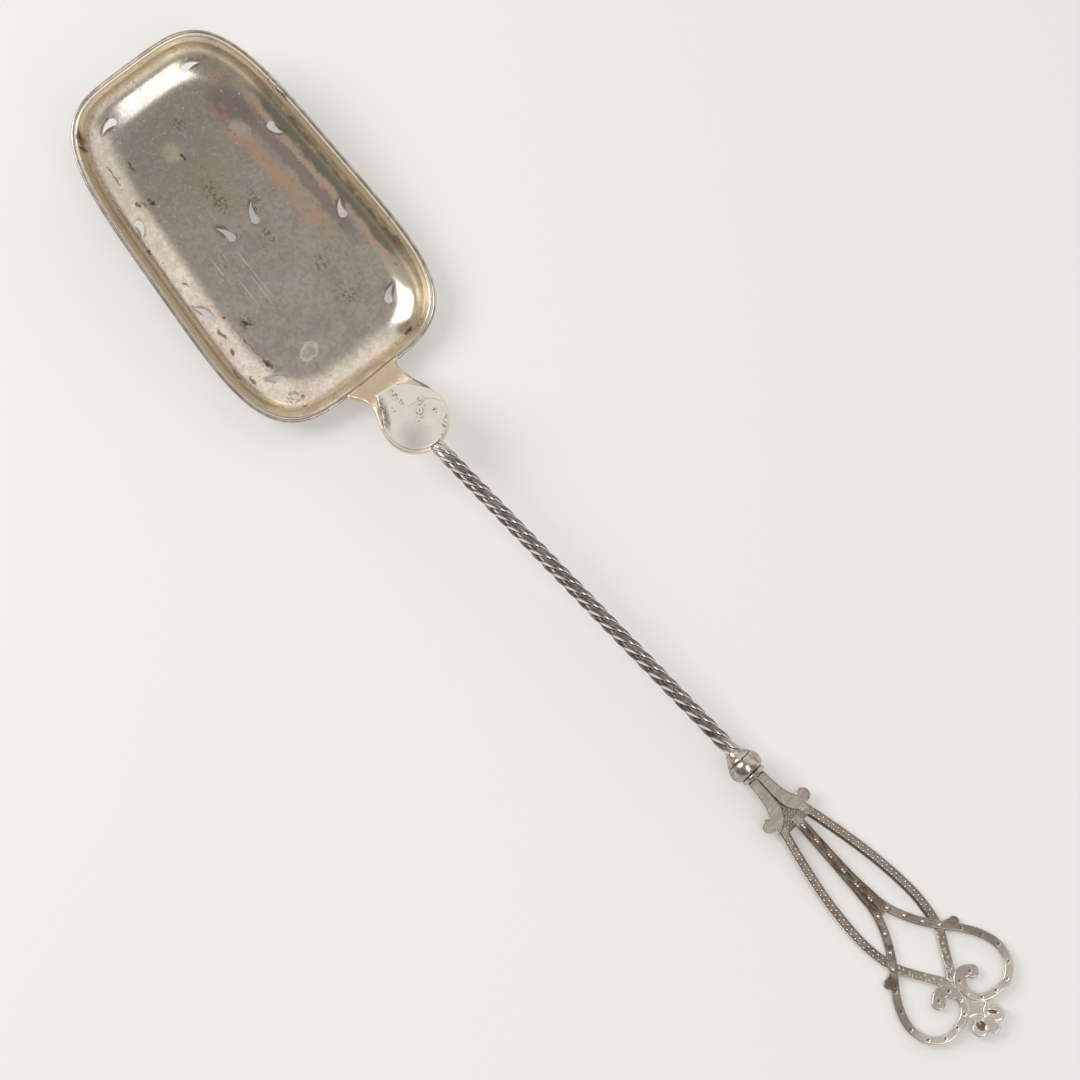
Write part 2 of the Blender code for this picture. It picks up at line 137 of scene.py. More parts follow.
# Rope stem
STEM_START = Vector((-27.6, -1.5, 15.6))
STEM_END = Vector((64.35, 0.0, 5.3))
PITCH_AT_PAD = 13.75
PITCH_AT_KNOP = 16.05
TWIST_START = 0.123
WIRE_COUNT = 4
WIRE_ORBIT = 1.08
WIRE_DEEP = 0.66
WIRE_WIDE = 0.9
WIRE_PEAK = 1.8
# Each strand is painted pale, with a soft edge, on the flank that faces the left lamp, where the sine round
# its section passes this value: a painted highlight
WIRE_FLANK = 0.7
WIRE_FLANK_SOFT = 0.25
# Angle round the stem from its top towards -y, width and strength of a band where the strands are painted
# pale more widely: painted highlights
PAINTED_HIGHLIGHT_ANGLE = math.radians(38.0)
PAINTED_HIGHLIGHT_WIDTH = math.radians(20.0)
PAINTED_HIGHLIGHT_GAIN = 0.95
ROPE_ASIDE = 0.3
SOLDER_REACH = 4.5
SOLDER_SHARE = 0.6
WIRE_SIDES = 28
WIRE_STEP = 0.3
WIRE_INTO_KNOP = 1.6
WIRE_INTO_PAD = 1.2
WIRE_ROOT_SIZE = 0.85

# Knop: profiles as (distance along the stem axis from its end, radius)
KNOP_BORE = 1.6
RING_PROFILE = [(-0.4, 1.7), (-0.1, 1.86), (0.35, 2.12), (0.8, 2.45), (1.2, 2.78), (1.55, 3.06), (1.8, 3.16),
                (2.0, 3.14), (2.1, 3.05)]
BEAD_BULGE = (2.14, 5.76, 3.15, 0.82)
COLLAR_BULGE = (5.94, 6.94, 2.7, 0.32)
BULGE_STEPS = 18
BULGE_POWER = 0.55
TURNED_RECESS = 2.2
TURNED_SIDES = 96

# Handle plate
PLATE_START_X = 71.5
PLATE_START_Z = 4.5
PLATE_START_SLOPE = -0.16
PLATE_THICKNESS = 1.6
PLATE_TIP_X = 146.9
PLATE_STEP = 0.125
PLATE_GRID = ((66.5, -15.6), (147.5, 15.6))
TANG_START_X = 67.0
TANG_HALF_WIDTH = 1.3
TANG_LAP = 1.0
LEAF_EDGE = [(71.5, 2.35), (75.0, 2.6), (78.0, 3.1), (80.5, 4.2), (83.0, 4.6), (85.2, 4.9)]
LEAF_LOBE = (81.2, 5.05, 1.7)
LEAF_VEIN = [(71.4, 0.0), (78.0, 0.05), (80.6, 0.5), (82.5, 1.7), (83.6, 3.3), (84.0, 5.4)]
STRAP = [(83.0, 2.95), (85.6, 3.95), (94.2, 5.85), (102.9, 7.3), (111.5, 7.95), (116.8, 7.65), (121.8, 6.6),
         (126.4, 4.15), (130.2, 1.75), (132.6, 0.1)]
STRAP_WIDTH = 2.25
SPINE_EDGE = [(83.0, 1.2), (94.0, 1.3), (102.0, 1.5), (108.0, 1.9), (112.0, 1.6)]
BRANCH = [(104.0, 0.5), (108.0, 0.85), (111.5, 1.5), (115.2, 2.9), (118.9, 4.9), (121.9, 7.05),
          (125.5, 9.95), (129.4, 12.25), (133.6, 13.3), (137.7, 12.3), (140.2, 9.35), (140.35, 5.9),
          (139.6, 3.2), (138.3, 1.75), (136.6, 1.05), (134.8, 1.05), (133.4, 1.7)]
BRANCH_WIDTH = 2.05
CROSSING_X = 121.9
CROSS_LOBE = (123.5, 9.85, 1.3)
CROSS_TAB = [(122.8, 8.0), (123.4, 9.6)]
CROSS_TAB_WIDTH = 2.3
VOLUTE_LOBE = (133.76, 5.05, 1.6)
VOLUTE = [(134.4, 1.2), (133.1, 2.0), (132.65, 3.3), (133.1, 4.5), (133.75, 5.05)]
VOLUTE_WIDTH = 2.9
FINIAL_EDGE = [(132.0, 0.1), (136.0, 1.6), (140.5, 2.6), (143.4, 1.4)]
FINIAL_LOBE = (143.8, 2.4, 1.95)
TIP_EDGE = [(142.6, 1.1), (145.6, 1.35), (146.9, 0.9)]
PANEL_LINE = [(140.5, 2.35), (141.2, 0.95), (142.5, 0.0)]
SPINE_OFFSET = 0.4
SPINE_OFFSET_TO_X = 101.0
SPINE_OFFSET_RUN = 14.0
SPINE_DOT_PAIR = 0.33
SPINE_DOTS = [86.3, 90.5, 94.9, 99.2, 103.4, 107.6]
SPINE_DASHES = [(88.3, 0.35, 1.3), (92.4, 0.55, 1.0), (96.6, -0.3, 0.8), (100.6, 0.2, 1.2),
                (101.9, -0.6, 0.7), (104.8, 0.7, 0.9), (105.9, -0.2, 0.7)]
BRANCH_DOTS = [(111.5, 1.35), (115.2, 2.9), (118.9, 4.95), (121.9, 7.05)]
LOOP_DOTS = [(125.5, 9.95), (129.5, 12.2), (133.6, 13.35), (137.7, 12.3), (140.1, 9.35), (140.2, 5.9),
             (139.2, 2.6), (136.5, 0.95), (133.4, 1.6), (133.4, 4.7)]
PLATE_EDGE = 0.16
PLATE_SIDE_CAVITY = -0.6
BEAD_PITCH = 1.32
BEAD_ROW = 0.43
BEAD_RADIUS = 0.25
STRAP_BEVEL = 0.5
STRAP_BEVEL_DEPTH = 0.3
HIDDEN = 9.0

# Chasing of the handle plate: radii of a dot and of the ring round it, widths, heights and depths
BRANCH_DOT_RADII = (0.4, 0.62)
BRANCH_DOT_RISE = 0.26
SPINE_DOT_RADII = (0.3, 0.6)
SPINE_DOT_RISE = 0.22
MOAT_DEPTH = 0.06
DASH_HALF_WIDTH = 0.24
DASH_DEPTH = 0.12
LOOP_DOT_RADII = (0.34, 0.52)
LOOP_DOT_DEPTH = 0.2
LOOP_RIM_RISE = 0.05
CROSSING_RISE = 0.1
CROSSING_REACH = 2.6
CROSSING_POINTS = 40
VEIN_HALF_WIDTH = 0.16
VEIN_DEPTH = 0.2
BORDER_INSET = 0.42
BORDER_HALF_WIDTH = 0.14
WEDGE_GAP = 0.1
WEDGE_HALF_WIDTH = 4.6
WEDGE_DEPTH = 0.2
WEDGE_ROWS = (-2.8, -2.1, -1.4, -0.7, 0.0, 0.7, 1.4, 2.1, 2.8)
WEDGE_SLANT = 0.37
WEDGE_PITCH = 0.8
WEDGE_BEAD_RADIUS = 0.34
WEDGE_BEAD_RISE = 0.1
PANEL_HALF_WIDTH = 0.22
PANEL_DEPTH = 0.12
HOLLOW_DEPTH = 0.28
ELEMENT_LAP = 0.02
PLAIN_CAVITY = 0.12
PLATE_SHOULDER = 0.5
WORN_WIDTH = 0.3

# Hollows in the finial's lobes: middle, direction and half size
FINIAL_SLOT = ((143.05, 2.05), (0.79, 0.61), (1.15, 0.4))
FINIAL_PIT = ((143.5, -1.95), (1.0, 0.0), (1.3, 1.0))

# View of the photograph
CAMERA_TARGET = (0.0, 2.936, 0.0)
CAMERA_AZIMUTH = math.radians(46.6)
CAMERA_ELEVATION = math.radians(78.0)
CAMERA_DISTANCE = 700.0
CAMERA_LENS = 104.5
CAMERA_CLIP = 0.01
SENSOR_WIDTH = 36.0


def plate_bend(x, y, height):
    """The plate runs down from the knop and levels out with its underside on the table."""
    fall = PLATE_START_Z - PLATE_THICKNESS / 2
    curvature = PLATE_START_SLOPE ** 2 / (4 * fall)
    run = x - PLATE_START_X
    z = PLATE_START_Z + PLATE_START_SLOPE * run + curvature * run ** 2
    angle = np.arctan(PLATE_START_SLOPE + 2 * curvature * run)
    return np.stack([x - height * np.sin(angle), y, z + height * np.cos(angle)], axis=-1)


def design_shift():
    """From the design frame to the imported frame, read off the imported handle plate."""
    low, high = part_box("handle_plate")
    tip = plate_bend(PLATE_TIP_X, 0.0, -PLATE_THICKNESS / 2)
    return Vector((high.x / MM - tip[0], (low.y + high.y) / 2 / MM, 0.0))


SHIFT = design_shift()
IN_DESIGN_FRAME = Matrix.Translation(SHIFT * MM)


def new_object(name, points, faces, place):
    mesh = bpy.data.meshes.new(name)
    mesh.from_pydata((np.asarray(points) * MM).tolist(), [], faces)
    mesh.validate()
    obj = bpy.data.objects.new(name, mesh)
    bpy.context.scene.collection.objects.link(obj)
    obj.matrix_world = place
    return obj


def finish_piece(obj, mat, node, slot, **layers):
    """Shades and colours one piece, hangs it under the root body and hides the imported part it stands for;
    layers are values at its points, for its material.
    """
    mesh = obj.data
    mesh.shade_smooth()
    mesh.set_sharp_from_angle(angle=SMOOTH_ANGLE)
    mesh.materials.clear()
    mesh.materials.append(mat)
    for name, values in layers.items():
        layer = mesh.attributes.new(name, "FLOAT", "POINT")
        layer.data.foreach_set("value", np.asarray(values, np.float32))
    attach(obj, "root")
    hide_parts(node)


def loft_faces(rings, count, closed_rings=False):
    """Four-sided faces between rings of count points each."""
    faces = []
    last = rings if closed_rings else rings - 1
    for ring in range(last):
        base = ring * count
        after = (ring + 1) % rings * count
        for i in range(count):
            j = (i + 1) % count
            faces.append([base + i, base + j, after + j, after + i])
    return faces


def tube_faces(rings, sides):
    """Faces of a tube made of rings of points, closed at both ends."""
    faces = [face[::-1] for face in loft_faces(rings, sides)]
    faces.append(list(range(sides)))
    faces.append([rings * sides - 1 - i for i in range(sides)])
    return faces


def smooth_path(points, step):
    """Points about one step apart on a smooth curve through the given plan points."""
    corners = [Vector((*p, 0.0)) for p in points]
    padded = [2 * corners[0] - corners[1], *corners, 2 * corners[-1] - corners[-2]]
    path = []
    for before, start, end, after in zip(padded, padded[1:], padded[2:], padded[3:]):
        count = max(2, math.ceil((end - start).length / step))
        handles = (start, start + (end - before) / 6, end - (after - start) / 6, end)
        path += interpolate_bezier(*handles, count + 1)[:-1]
    return np.array([p[:2] for p in [*path, padded[-2]]])


def path_frame(x, y, path):
    """Distance to a path, arc length at the nearest point and signed distance to its left."""
    best = np.full(x.shape, np.inf)
    along = np.zeros(x.shape)
    side = np.zeros(x.shape)
    start = 0.0
    for a, b in zip(path, path[1:]):
        length = math.hypot(*(b - a))
        ux, uy = (b - a) / length
        rx = x - a[0]
        ry = y - a[1]
        s = np.clip(rx * ux + ry * uy, 0.0, length)
        gap = (rx - s * ux) ** 2 + (ry - s * uy) ** 2
        closer = gap < best
        best = np.where(closer, gap, best)
        along = np.where(closer, start + s, along)
        side = np.where(closer, ux * ry - uy * rx, side)
        start += length
    return np.sqrt(best), along, side


def circle_distance(x, y, circle):
    return np.hypot(x - circle[0], y - circle[1]) - circle[2]


def width_distance(x, y, edge):
    """Distance to a shape given by its half width along x."""
    path = smooth_path(edge, 0.4)
    half = np.interp(x, path[:, 0], path[:, 1])
    return np.maximum(np.abs(y) - half, np.maximum(edge[0][0] - x, x - edge[-1][0]))


def rounded(inside, radius):
    """How far a rounded edge lies below the face, at a distance inside the outline."""
    short = np.clip(radius - inside, 0.0, radius)
    return radius - np.sqrt(radius ** 2 - short ** 2)


def dome(distance, radius):
    return np.sqrt(np.clip(1.0 - (distance / radius) ** 2, 0.0, 1.0))


def corners(grid):
    """The grid's values at the four corners of each cell, in turn round the cell."""
    return grid[:-1, :-1], grid[1:, :-1], grid[1:, 1:], grid[:-1, 1:]


def relief_solid(low, high, step, distance, top, bottom, bend, edge_cavity=0.25):
    """Closed solid over a plan outline: points, faces and the cavity value of each point.

    distance(x, y) is negative inside the outline. top(x, y, inside) gives height and cavity, bottom(inside)
    gives height, and bend places (x, y, height). Grid points at the outline are moved onto it. edge_cavity is
    the cavity value at the foot of the sides.
    """
    xs = np.arange(low[0], high[0] + step, step)
    ys = np.arange(low[1], high[1] + step, step)
    gx, gy = np.meshgrid(xs, ys, indexing="ij")
    sd = distance(gx, gy)
    kept = sum(corners(sd)) < 0
    kept[0, :] = kept[-1, :] = kept[:, 0] = kept[:, -1] = False
    while True:
        a, b, c, d = corners(kept)
        touching = (a & c & ~b & ~d) | (b & d & ~a & ~c)
        if not touching.any():
            break
        for block in (a, b, c, d):
            block |= touching
    cells = np.zeros(gx.shape, int)
    for block in corners(cells):
        block += kept
    used = cells > 0
    rim = used & (cells < 4)
    slope_x, slope_y = np.gradient(sd, step)
    slope = np.maximum(np.hypot(slope_x, slope_y), 0.3)
    move = np.clip(np.where(rim, sd, 0.0), -step, step) / slope
    px = (gx - move * slope_x / slope)[used]
    py = (gy - move * slope_y / slope)[used]
    inside = np.where(rim[used], 0.0, np.maximum(-sd[used], 0.0))
    height, cavity = top(px, py, inside)
    count = len(px)
    upper = bend(px, py, height)
    lower = bend(px, py, bottom(inside))
    index = np.full(gx.shape, -1)
    index[used] = np.arange(count)
    quads = np.stack([corner[kept] for corner in corners(index)], 1)
    solid = np.pad(kept, 1)
    sides = []
    neighbours = ((0, -1, 0, 0, 1, 0), (1, 0, 1, 0, 1, 1), (0, 1, 1, 1, 0, 1), (-1, 0, 0, 1, 0, 0))
    for di, dj, ai, aj, bi, bj in neighbours:
        other = solid[1 + di:1 + di + kept.shape[0], 1 + dj:1 + dj + kept.shape[1]]
        i, j = np.nonzero(kept & ~other)
        a = index[i + ai, j + aj]
        b = index[i + bi, j + bj]
        sides.append(np.stack([b, a, a + count, b + count], 1))
    faces = np.concatenate([quads, quads[:, ::-1] + count, *sides])
    under = np.where(rim[used], edge_cavity, UNDER_CAVITY)
    return np.concatenate([upper, lower]), faces.tolist(), np.concatenate([cavity, under])


def bowl_frame():
    """Places bowl coordinates: pitched so that the far end is up, turned, with the heel on the table."""
    heel = BOWL_HALF_LENGTH - floor_inset()
    heel_height = heel * math.sin(BOWL_PITCH) + FILLET_RADIUS * (1 - math.cos(BOWL_PITCH))
    place = Matrix.Translation((*BOWL_CENTRE, heel_height))
    return place @ Matrix.Rotation(BOWL_SKEW, 4, "Z") @ Matrix.Rotation(BOWL_PITCH, 4, "Y")


def floor_inset():
    wall_foot = FILLET_RADIUS * (1 - math.sin(WALL_LEAN))
    return (BOWL_DEPTH - wall_foot) * math.tan(WALL_LEAN) + FILLET_RADIUS * math.cos(WALL_LEAN)


def rim_point(turn, inset):
    """Points of the rounded, tapered rim outline, moved in by the inset."""
    power = 2 / BOWL_SQUARENESS
    cos_t = np.cos(turn)
    sin_t = np.sin(turn)
    p = (BOWL_HALF_LENGTH - inset) * np.sign(cos_t) * np.abs(cos_t) ** power
    half_width = BOWL_HALF_WIDTH + BOWL_TAPER * p - inset
    return p, half_width * np.sign(sin_t) * np.abs(sin_t) ** power


def even_turns(count):
    """Turns whose rim points are evenly spaced round the outline."""
    angle = np.linspace(0.0, 2 * math.pi, 4001)
    reach = (np.abs(np.cos(angle) / BOWL_HALF_LENGTH) ** BOWL_SQUARENESS
             + np.abs(np.sin(angle) / BOWL_HALF_WIDTH) ** BOWL_SQUARENESS) ** (-1 / BOWL_SQUARENESS)
    p = reach * np.cos(angle)
    q = reach * np.sin(angle)
    length = np.concatenate([[0.0], np.cumsum(np.hypot(np.diff(p), np.diff(q)))])
    even = np.interp(np.arange(count) * length[-1] / count, length, angle)
    power = BOWL_SQUARENESS / 2
    reach = np.interp(even, angle, reach)
    cos_p = reach * np.cos(even) / BOWL_HALF_LENGTH
    sin_q = reach * np.sin(even) / BOWL_HALF_WIDTH
    return np.arctan2(np.sign(sin_q) * np.abs(sin_q) ** power, np.sign(cos_p) * np.abs(cos_p) ** power)


def wall_rings(offset):
    """Inset and height of one face of the sheet, from the floor's edge up to the lip."""
    radius = FILLET_RADIUS - offset
    foot = (floor_inset() - radius * math.cos(WALL_LEAN), FILLET_RADIUS - radius * math.sin(WALL_LEAN))
    share = np.linspace(0.0, 1.0, FILLET_RINGS + 1)
    slope = (math.pi / 2 - WALL_LEAN) * share ** (FILLET_EASE if offset else 1.0)
    middle = (slope[1:] + slope[:-1]) / 2
    run = np.concatenate([[0.0], np.cumsum(np.cos(middle))])
    rise = np.concatenate([[0.0], np.cumsum(np.sin(middle))])
    scale = (foot[1] - offset) / rise[-1]
    rings = [(foot[0] + (run[-1] - x) * scale, offset + z * scale) for x, z in zip(run, rise)]
    lip = LIP_WIDTH if offset else 0.0
    end = (lip + LIP_HEIGHT * math.tan(WALL_LEAN), BOWL_DEPTH - LIP_HEIGHT)
    for i in range(1, WALL_RINGS + 1):
        share = i / WALL_RINGS
        rings.append((foot[0] + (end[0] - foot[0]) * share, foot[1] + (end[1] - foot[1]) * share))
    return rings


def lip_rings(outer, inner):
    """A rounded lip from the top of the outer face over to the top of the inner face."""
    rings = []
    for i in range(1, LIP_RINGS):
        angle = math.pi * i / LIP_RINGS
        inset = (outer[0] + inner[0]) / 2 + (outer[0] - inner[0]) / 2 * math.cos(angle)
        rings.append((inset, outer[1] + LIP_HEIGHT * math.sin(angle)))
    return rings


def floor_ripple(p, q):
    """Slight unevenness of the hammered floor."""
    return RIPPLE * (np.sin(p / 7.0 + 0.6) * np.cos(q / 6.2) + np.sin(p / 12.5 - q / 9.0 + 1.0))


def bowl_shell():
    turns = even_turns(BOWL_TURNS)
    outer = wall_rings(0.0)
    inner = wall_rings(BOWL_SHEET)
    rings = []

    def floor_ring(share, height, inset):
        p, q = rim_point(turns, inset)
        p = p * share
        q = q * share
        rings.append(np.stack([p, q, height + floor_ripple(p, q) * (1 - share ** 2)], 1))

    shares = [(i + 1) / FLOOR_RINGS for i in range(FLOOR_RINGS - 1)]
    for share in shares:
        floor_ring(share, 0.0, outer[0][0])
    for inset, height in [*outer, *lip_rings(outer[-1], inner[-1]), *inner[::-1]]:
        p, q = rim_point(turns, inset)
        rings.append(np.stack([p, q, np.full(BOWL_TURNS, height)], 1))
    for share in shares[::-1]:
        floor_ring(share, BOWL_SHEET, inner[0][0])
    points = np.concatenate(rings)
    faces = loft_faces(len(rings), BOWL_TURNS)
    middle = floor_ripple(0.0, 0.0)
    points = np.concatenate([points, [[0.0, 0.0, middle], [0.0, 0.0, BOWL_SHEET + middle]]])
    last = (len(rings) - 1) * BOWL_TURNS
    centre = len(points) - 2
    for i in range(BOWL_TURNS):
        j = (i + 1) % BOWL_TURNS
        faces.append([centre, j, i])
        faces.append([centre + 1, last + i, last + j])
    return points, faces


def comma_outline(head, tail, bow):
    """Plan outline of a comma: a round head whose two sides run to one tip, both bowed the same way."""
    head = Vector(head)
    tail = Vector(tail)
    along = (tail - head).normalized()
    across = Vector((-along.y, along.x))
    middle = head.lerp(tail, 0.5) + across * COMMA_BOW * bow
    outline = []
    for side in (1, -1):
        start = head + across * COMMA_HEAD_RADIUS * side
        handle = middle + across * COMMA_HEAD_RADIUS * COMMA_TAPER * side
        handles = (start, start.lerp(handle, COMMA_PULL), tail.lerp(handle, COMMA_PULL), tail)
        curve = [c.to_2d() for c in interpolate_bezier(*[h.to_3d() for h in handles], COMMA_STEPS + 1)]
        outline += curve if side == 1 else curve[-2::-1]
    first = math.atan2(-across.y, -across.x)
    for i in range(1, 2 * COMMA_STEPS):
        angle = first - math.pi * i / (2 * COMMA_STEPS)
        outline.append(head + COMMA_HEAD_RADIUS * Vector((math.cos(angle), math.sin(angle))))
    return outline


def comma_cutter(place):
    points = []
    faces = []
    for head, tail, bow, axis in COMMAS:
        for side in (1, -1):
            ends = [(p, q * side + axis) for p, q in (head, tail)]
            outline = comma_outline(*ends, bow * side)
            if sum(a.cross(b) for a, b in zip(outline, outline[1:] + outline[:1])) < 0:
                outline = outline[::-1]
            count = len(outline)
            base = len(points)
            points += [(*c, -CUTTER_BELOW) for c in outline] + [(*c, BOWL_DEPTH) for c in outline]
            faces.append([base + i for i in reversed(range(count))])
            faces.append([base + count + i for i in range(count)])
            for i in range(count):
                j = (i + 1) % count
                faces.append([base + i, base + j, base + count + j, base + count + i])
    return new_object("comma_cutter", points, faces, place)


def in_packed_frame(matrix):
    """A design-frame placement in millimetres as a packed-frame one in metres."""
    placed = Matrix.Translation(SHIFT) @ matrix
    placed.translation *= MM
    return placed


def build_bowl(mat):
    place = in_packed_frame(bowl_frame())
    bowl = new_object("pierced_bowl", *bowl_shell(), place)
    cutter = comma_cutter(place)
    holes = bowl.modifiers.new("holes", "BOOLEAN")
    holes.object = cutter
    holes.solver = "EXACT"
    bpy.context.view_layer.update()
    cut = bpy.data.meshes.new_from_object(bowl.evaluated_get(bpy.context.evaluated_depsgraph_get()))
    bowl.modifiers.clear()
    bowl.data = cut
    bpy.data.objects.remove(cutter, do_unlink=True)
    finish_piece(bowl, mat, "bowl", "bowl_silver")


def swept_tube(path, radii, sides):
    """Points and faces of a round tube along a path, closed at both ends."""
    path = np.asarray(path)
    along = np.gradient(path, axis=0)
    along /= np.linalg.norm(along, axis=1)[:, None]
    across = np.cross(along, [0.0, 0.0, 1.0])
    across /= np.linalg.norm(across, axis=1)[:, None]
    up = np.cross(across, along)
    angles = 2 * math.pi * np.arange(sides) / sides
    ring = across[:, None] * np.cos(angles)[None, :, None] + up[:, None] * np.sin(angles)[None, :, None]
    points = (path[:, None] + ring * np.asarray(radii)[:, None, None]).reshape(-1, 3)
    return points, tube_faces(len(path), sides)


def build_rim_wire(mat):
    """A wire round the outside of the lip, from one side of the neck round the far end to the other side."""
    place = bowl_frame()
    near_half_width = BOWL_HALF_WIDTH + BOWL_TAPER * BOWL_HALF_LENGTH
    neck_middle = NECK_ROOT_Y - (place @ Vector((BOWL_HALF_LENGTH, 0.0, BOWL_DEPTH))).y
    opening = NECK_ROOT_HALF_WIDTH + NECK_FLARE / 2
    start, end = [math.asin((q / near_half_width) ** (BOWL_SQUARENESS / 2))
                  for q in (opening + neck_middle, opening - neck_middle)]
    turns = np.unwrap(even_turns(RIM_WIRE_POINTS))
    turns = turns[(turns > start) & (turns < 2 * math.pi - end)]
    turns = np.concatenate([[start], turns, [2 * math.pi - end]])
    p, q = rim_point(turns, -RIM_WIRE_OUT)
    path = np.stack([p, q, np.full(len(p), BOWL_DEPTH - RIM_WIRE_DROP)], 1)
    radii = np.full(len(p), RIM_WIRE_RADIUS)
    radii[[0, -1]] *= RIM_WIRE_END_SIZE
    points, faces = swept_tube(path, radii, RIM_WIRE_SIDES)
    obj = new_object("rim_bead_wire", points, faces, in_packed_frame(place))
    finish_piece(obj, mat, "rim_wire", "wire_silver")


def stem_direction():
    return (STEM_END - STEM_START).normalized()


def pad_height(x):
    """Height of the pad's upper face: it lies in line with the stem."""
    along = stem_direction()
    return PAD_TOP + (x - PAD_CENTRE[0]) * along.z / along.x


def neck_profile():
    """Upper face of the neck strap from the rim to the far edge of its disc: x and z."""
    root = bowl_frame() @ Vector((BOWL_HALF_LENGTH, 0.0, BOWL_DEPTH))
    start = Vector((root.x + NECK_GAP, 0.0, root.z))
    slope = stem_direction()
    lapped = PAD_THICKNESS + PAD_GAP
    end = Vector((NECK_END_X, 0.0, pad_height(NECK_END_X) - lapped))
    rise = Vector((math.cos(NECK_RISE_ANGLE), 0.0, math.sin(NECK_RISE_ANGLE)))
    level = Vector((slope.x, 0.0, slope.z)).normalized()
    handles = (start + rise * NECK_START_HANDLE, end - level * NECK_END_HANDLE)
    curve = interpolate_bezier(start, *handles, end, NECK_PROFILE_POINTS)
    tip_x = PAD_CENTRE[0] + NECK_DISC_RADIUS + MARGIN
    tip = Vector((tip_x, 0.0, pad_height(tip_x) - lapped))
    return np.array([(c.x, c.z) for c in [*curve, tip]])


def build_neck(mat):
    profile = neck_profile()
    steps = np.hypot(*np.diff(profile, axis=0).T)
    lengths = np.concatenate([[0.0], np.cumsum(steps)])
    angles = np.arctan2(*np.gradient(profile, lengths, axis=0).T[::-1])
    waist, shoulder, disc = np.interp([NECK_WAIST_X, NECK_SHOULDER_X, PAD_CENTRE[0]], profile[:, 0], lengths)

    def distance(s, y):
        share = np.clip(s / waist, 0.0, 1.0)
        flow = np.clip((s - waist) / (shoulder - waist), 0.0, 1.0)
        flow = flow * flow * (3 - 2 * flow)
        half = NECK_WAIST_HALF_WIDTH + (NECK_ROOT_HALF_WIDTH - NECK_WAIST_HALF_WIDTH) * (1 - share) ** 2
        half = half + (NECK_SHOULDER_HALF_WIDTH - NECK_WAIST_HALF_WIDTH) * flow
        half = half + NECK_FLARE * np.exp(-np.maximum(s, 0.0) / NECK_FLARE_LENGTH)
        tongue = np.maximum(np.abs(y) - half, np.maximum(-s, s - disc))
        return np.minimum(tongue, np.hypot(s - disc, y) - NECK_DISC_RADIUS)

    def top(s, y, inside):
        lip = np.clip(1.0 - s / NECK_SEAM, 0.0, 1.0)
        return NECK_THICKNESS / 2 - rounded(inside, NECK_EDGE) * (1 - lip), np.exp(-s / NECK_SEAM)

    def bottom(inside):
        return -NECK_THICKNESS / 2 + rounded(inside, NECK_EDGE)

    def bend(s, y, height):
        share = np.clip(s / disc, 0.0, 1.0)
        skewed = s + (1 - share) * y * math.tan(-BOWL_SKEW)
        angle = np.interp(skewed, lengths, angles)
        drop = height - NECK_THICKNESS / 2
        x = np.interp(skewed, lengths, profile[:, 0]) - np.sin(angle) * drop
        x = x + np.minimum(skewed, 0.0)
        z = np.interp(skewed, lengths, profile[:, 1]) + np.cos(angle) * drop
        shift = NECK_ROOT_Y + (PAD_CENTRE[1] - NECK_ROOT_Y) * share
        return np.stack([x, y + shift, z], axis=-1)

    reach = NECK_DISC_RADIUS + MARGIN
    low = (-2 * NECK_STEP, -reach)
    high = (disc + reach, reach)
    points, faces, cavity = relief_solid(low, high, NECK_STEP, distance, top, bottom, bend)
    obj = new_object("neck_tongue", points, faces, IN_DESIGN_FRAME)
    finish_piece(obj, mat, "neck_strap", "neck_gilt", cavity=cavity)


def build_pad(mat):
    centre_x, centre_y = PAD_CENTRE
    slope = stem_direction()
    normal = Vector((-slope.z, 0.0, slope.x)).normalized()

    def distance(x, y):
        disc = circle_distance(x, y, (centre_x, centre_y, PAD_RADIUS))
        slant = PAD_SLANT * (y - centre_y)
        slanted = x - slant * np.clip((PAD_SHOULDER[2][0] - x) / PAD_SLANT_RUN, 0.0, 1.0)
        return np.minimum(disc, width_distance(slanted, y - centre_y, PAD_SHOULDER))

    def top(x, y, inside):
        cavity = np.clip(1.0 - inside / PAD_RIM, 0.0, 1.0) * PAD_RIM_CAVITY
        return PAD_THICKNESS / 2 - rounded(inside, PAD_EDGE), cavity

    def bottom(inside):
        return -PAD_THICKNESS / 2 + rounded(inside, PAD_LOWER_EDGE)

    def bend(x, y, height):
        drop = height - PAD_THICKNESS / 2
        return np.stack([x + normal.x * drop, y, pad_height(x) + normal.z * drop], axis=-1)

    reach = PAD_RADIUS + MARGIN
    low = (PAD_SHOULDER[0][0] - MARGIN, centre_y - reach)
    high = (centre_x + reach, centre_y + reach)
    points, faces, cavity = relief_solid(low, high, PAD_STEP, distance, top, bottom, bend)
    obj = new_object("lapped_pad", points, faces, IN_DESIGN_FRAME)
    from_line, _, _ = path_frame(points[:, 0], points[:, 1], smooth_path(PAD_LINE, 0.3))
    finish_piece(obj, mat, "stem_pad", "pad_silver", cavity=cavity, from_line=from_line)


def stem_axes():
    along = stem_direction()
    side = along.orthogonal().normalized()
    return np.array(along), np.array(side), np.array(along.cross(side))


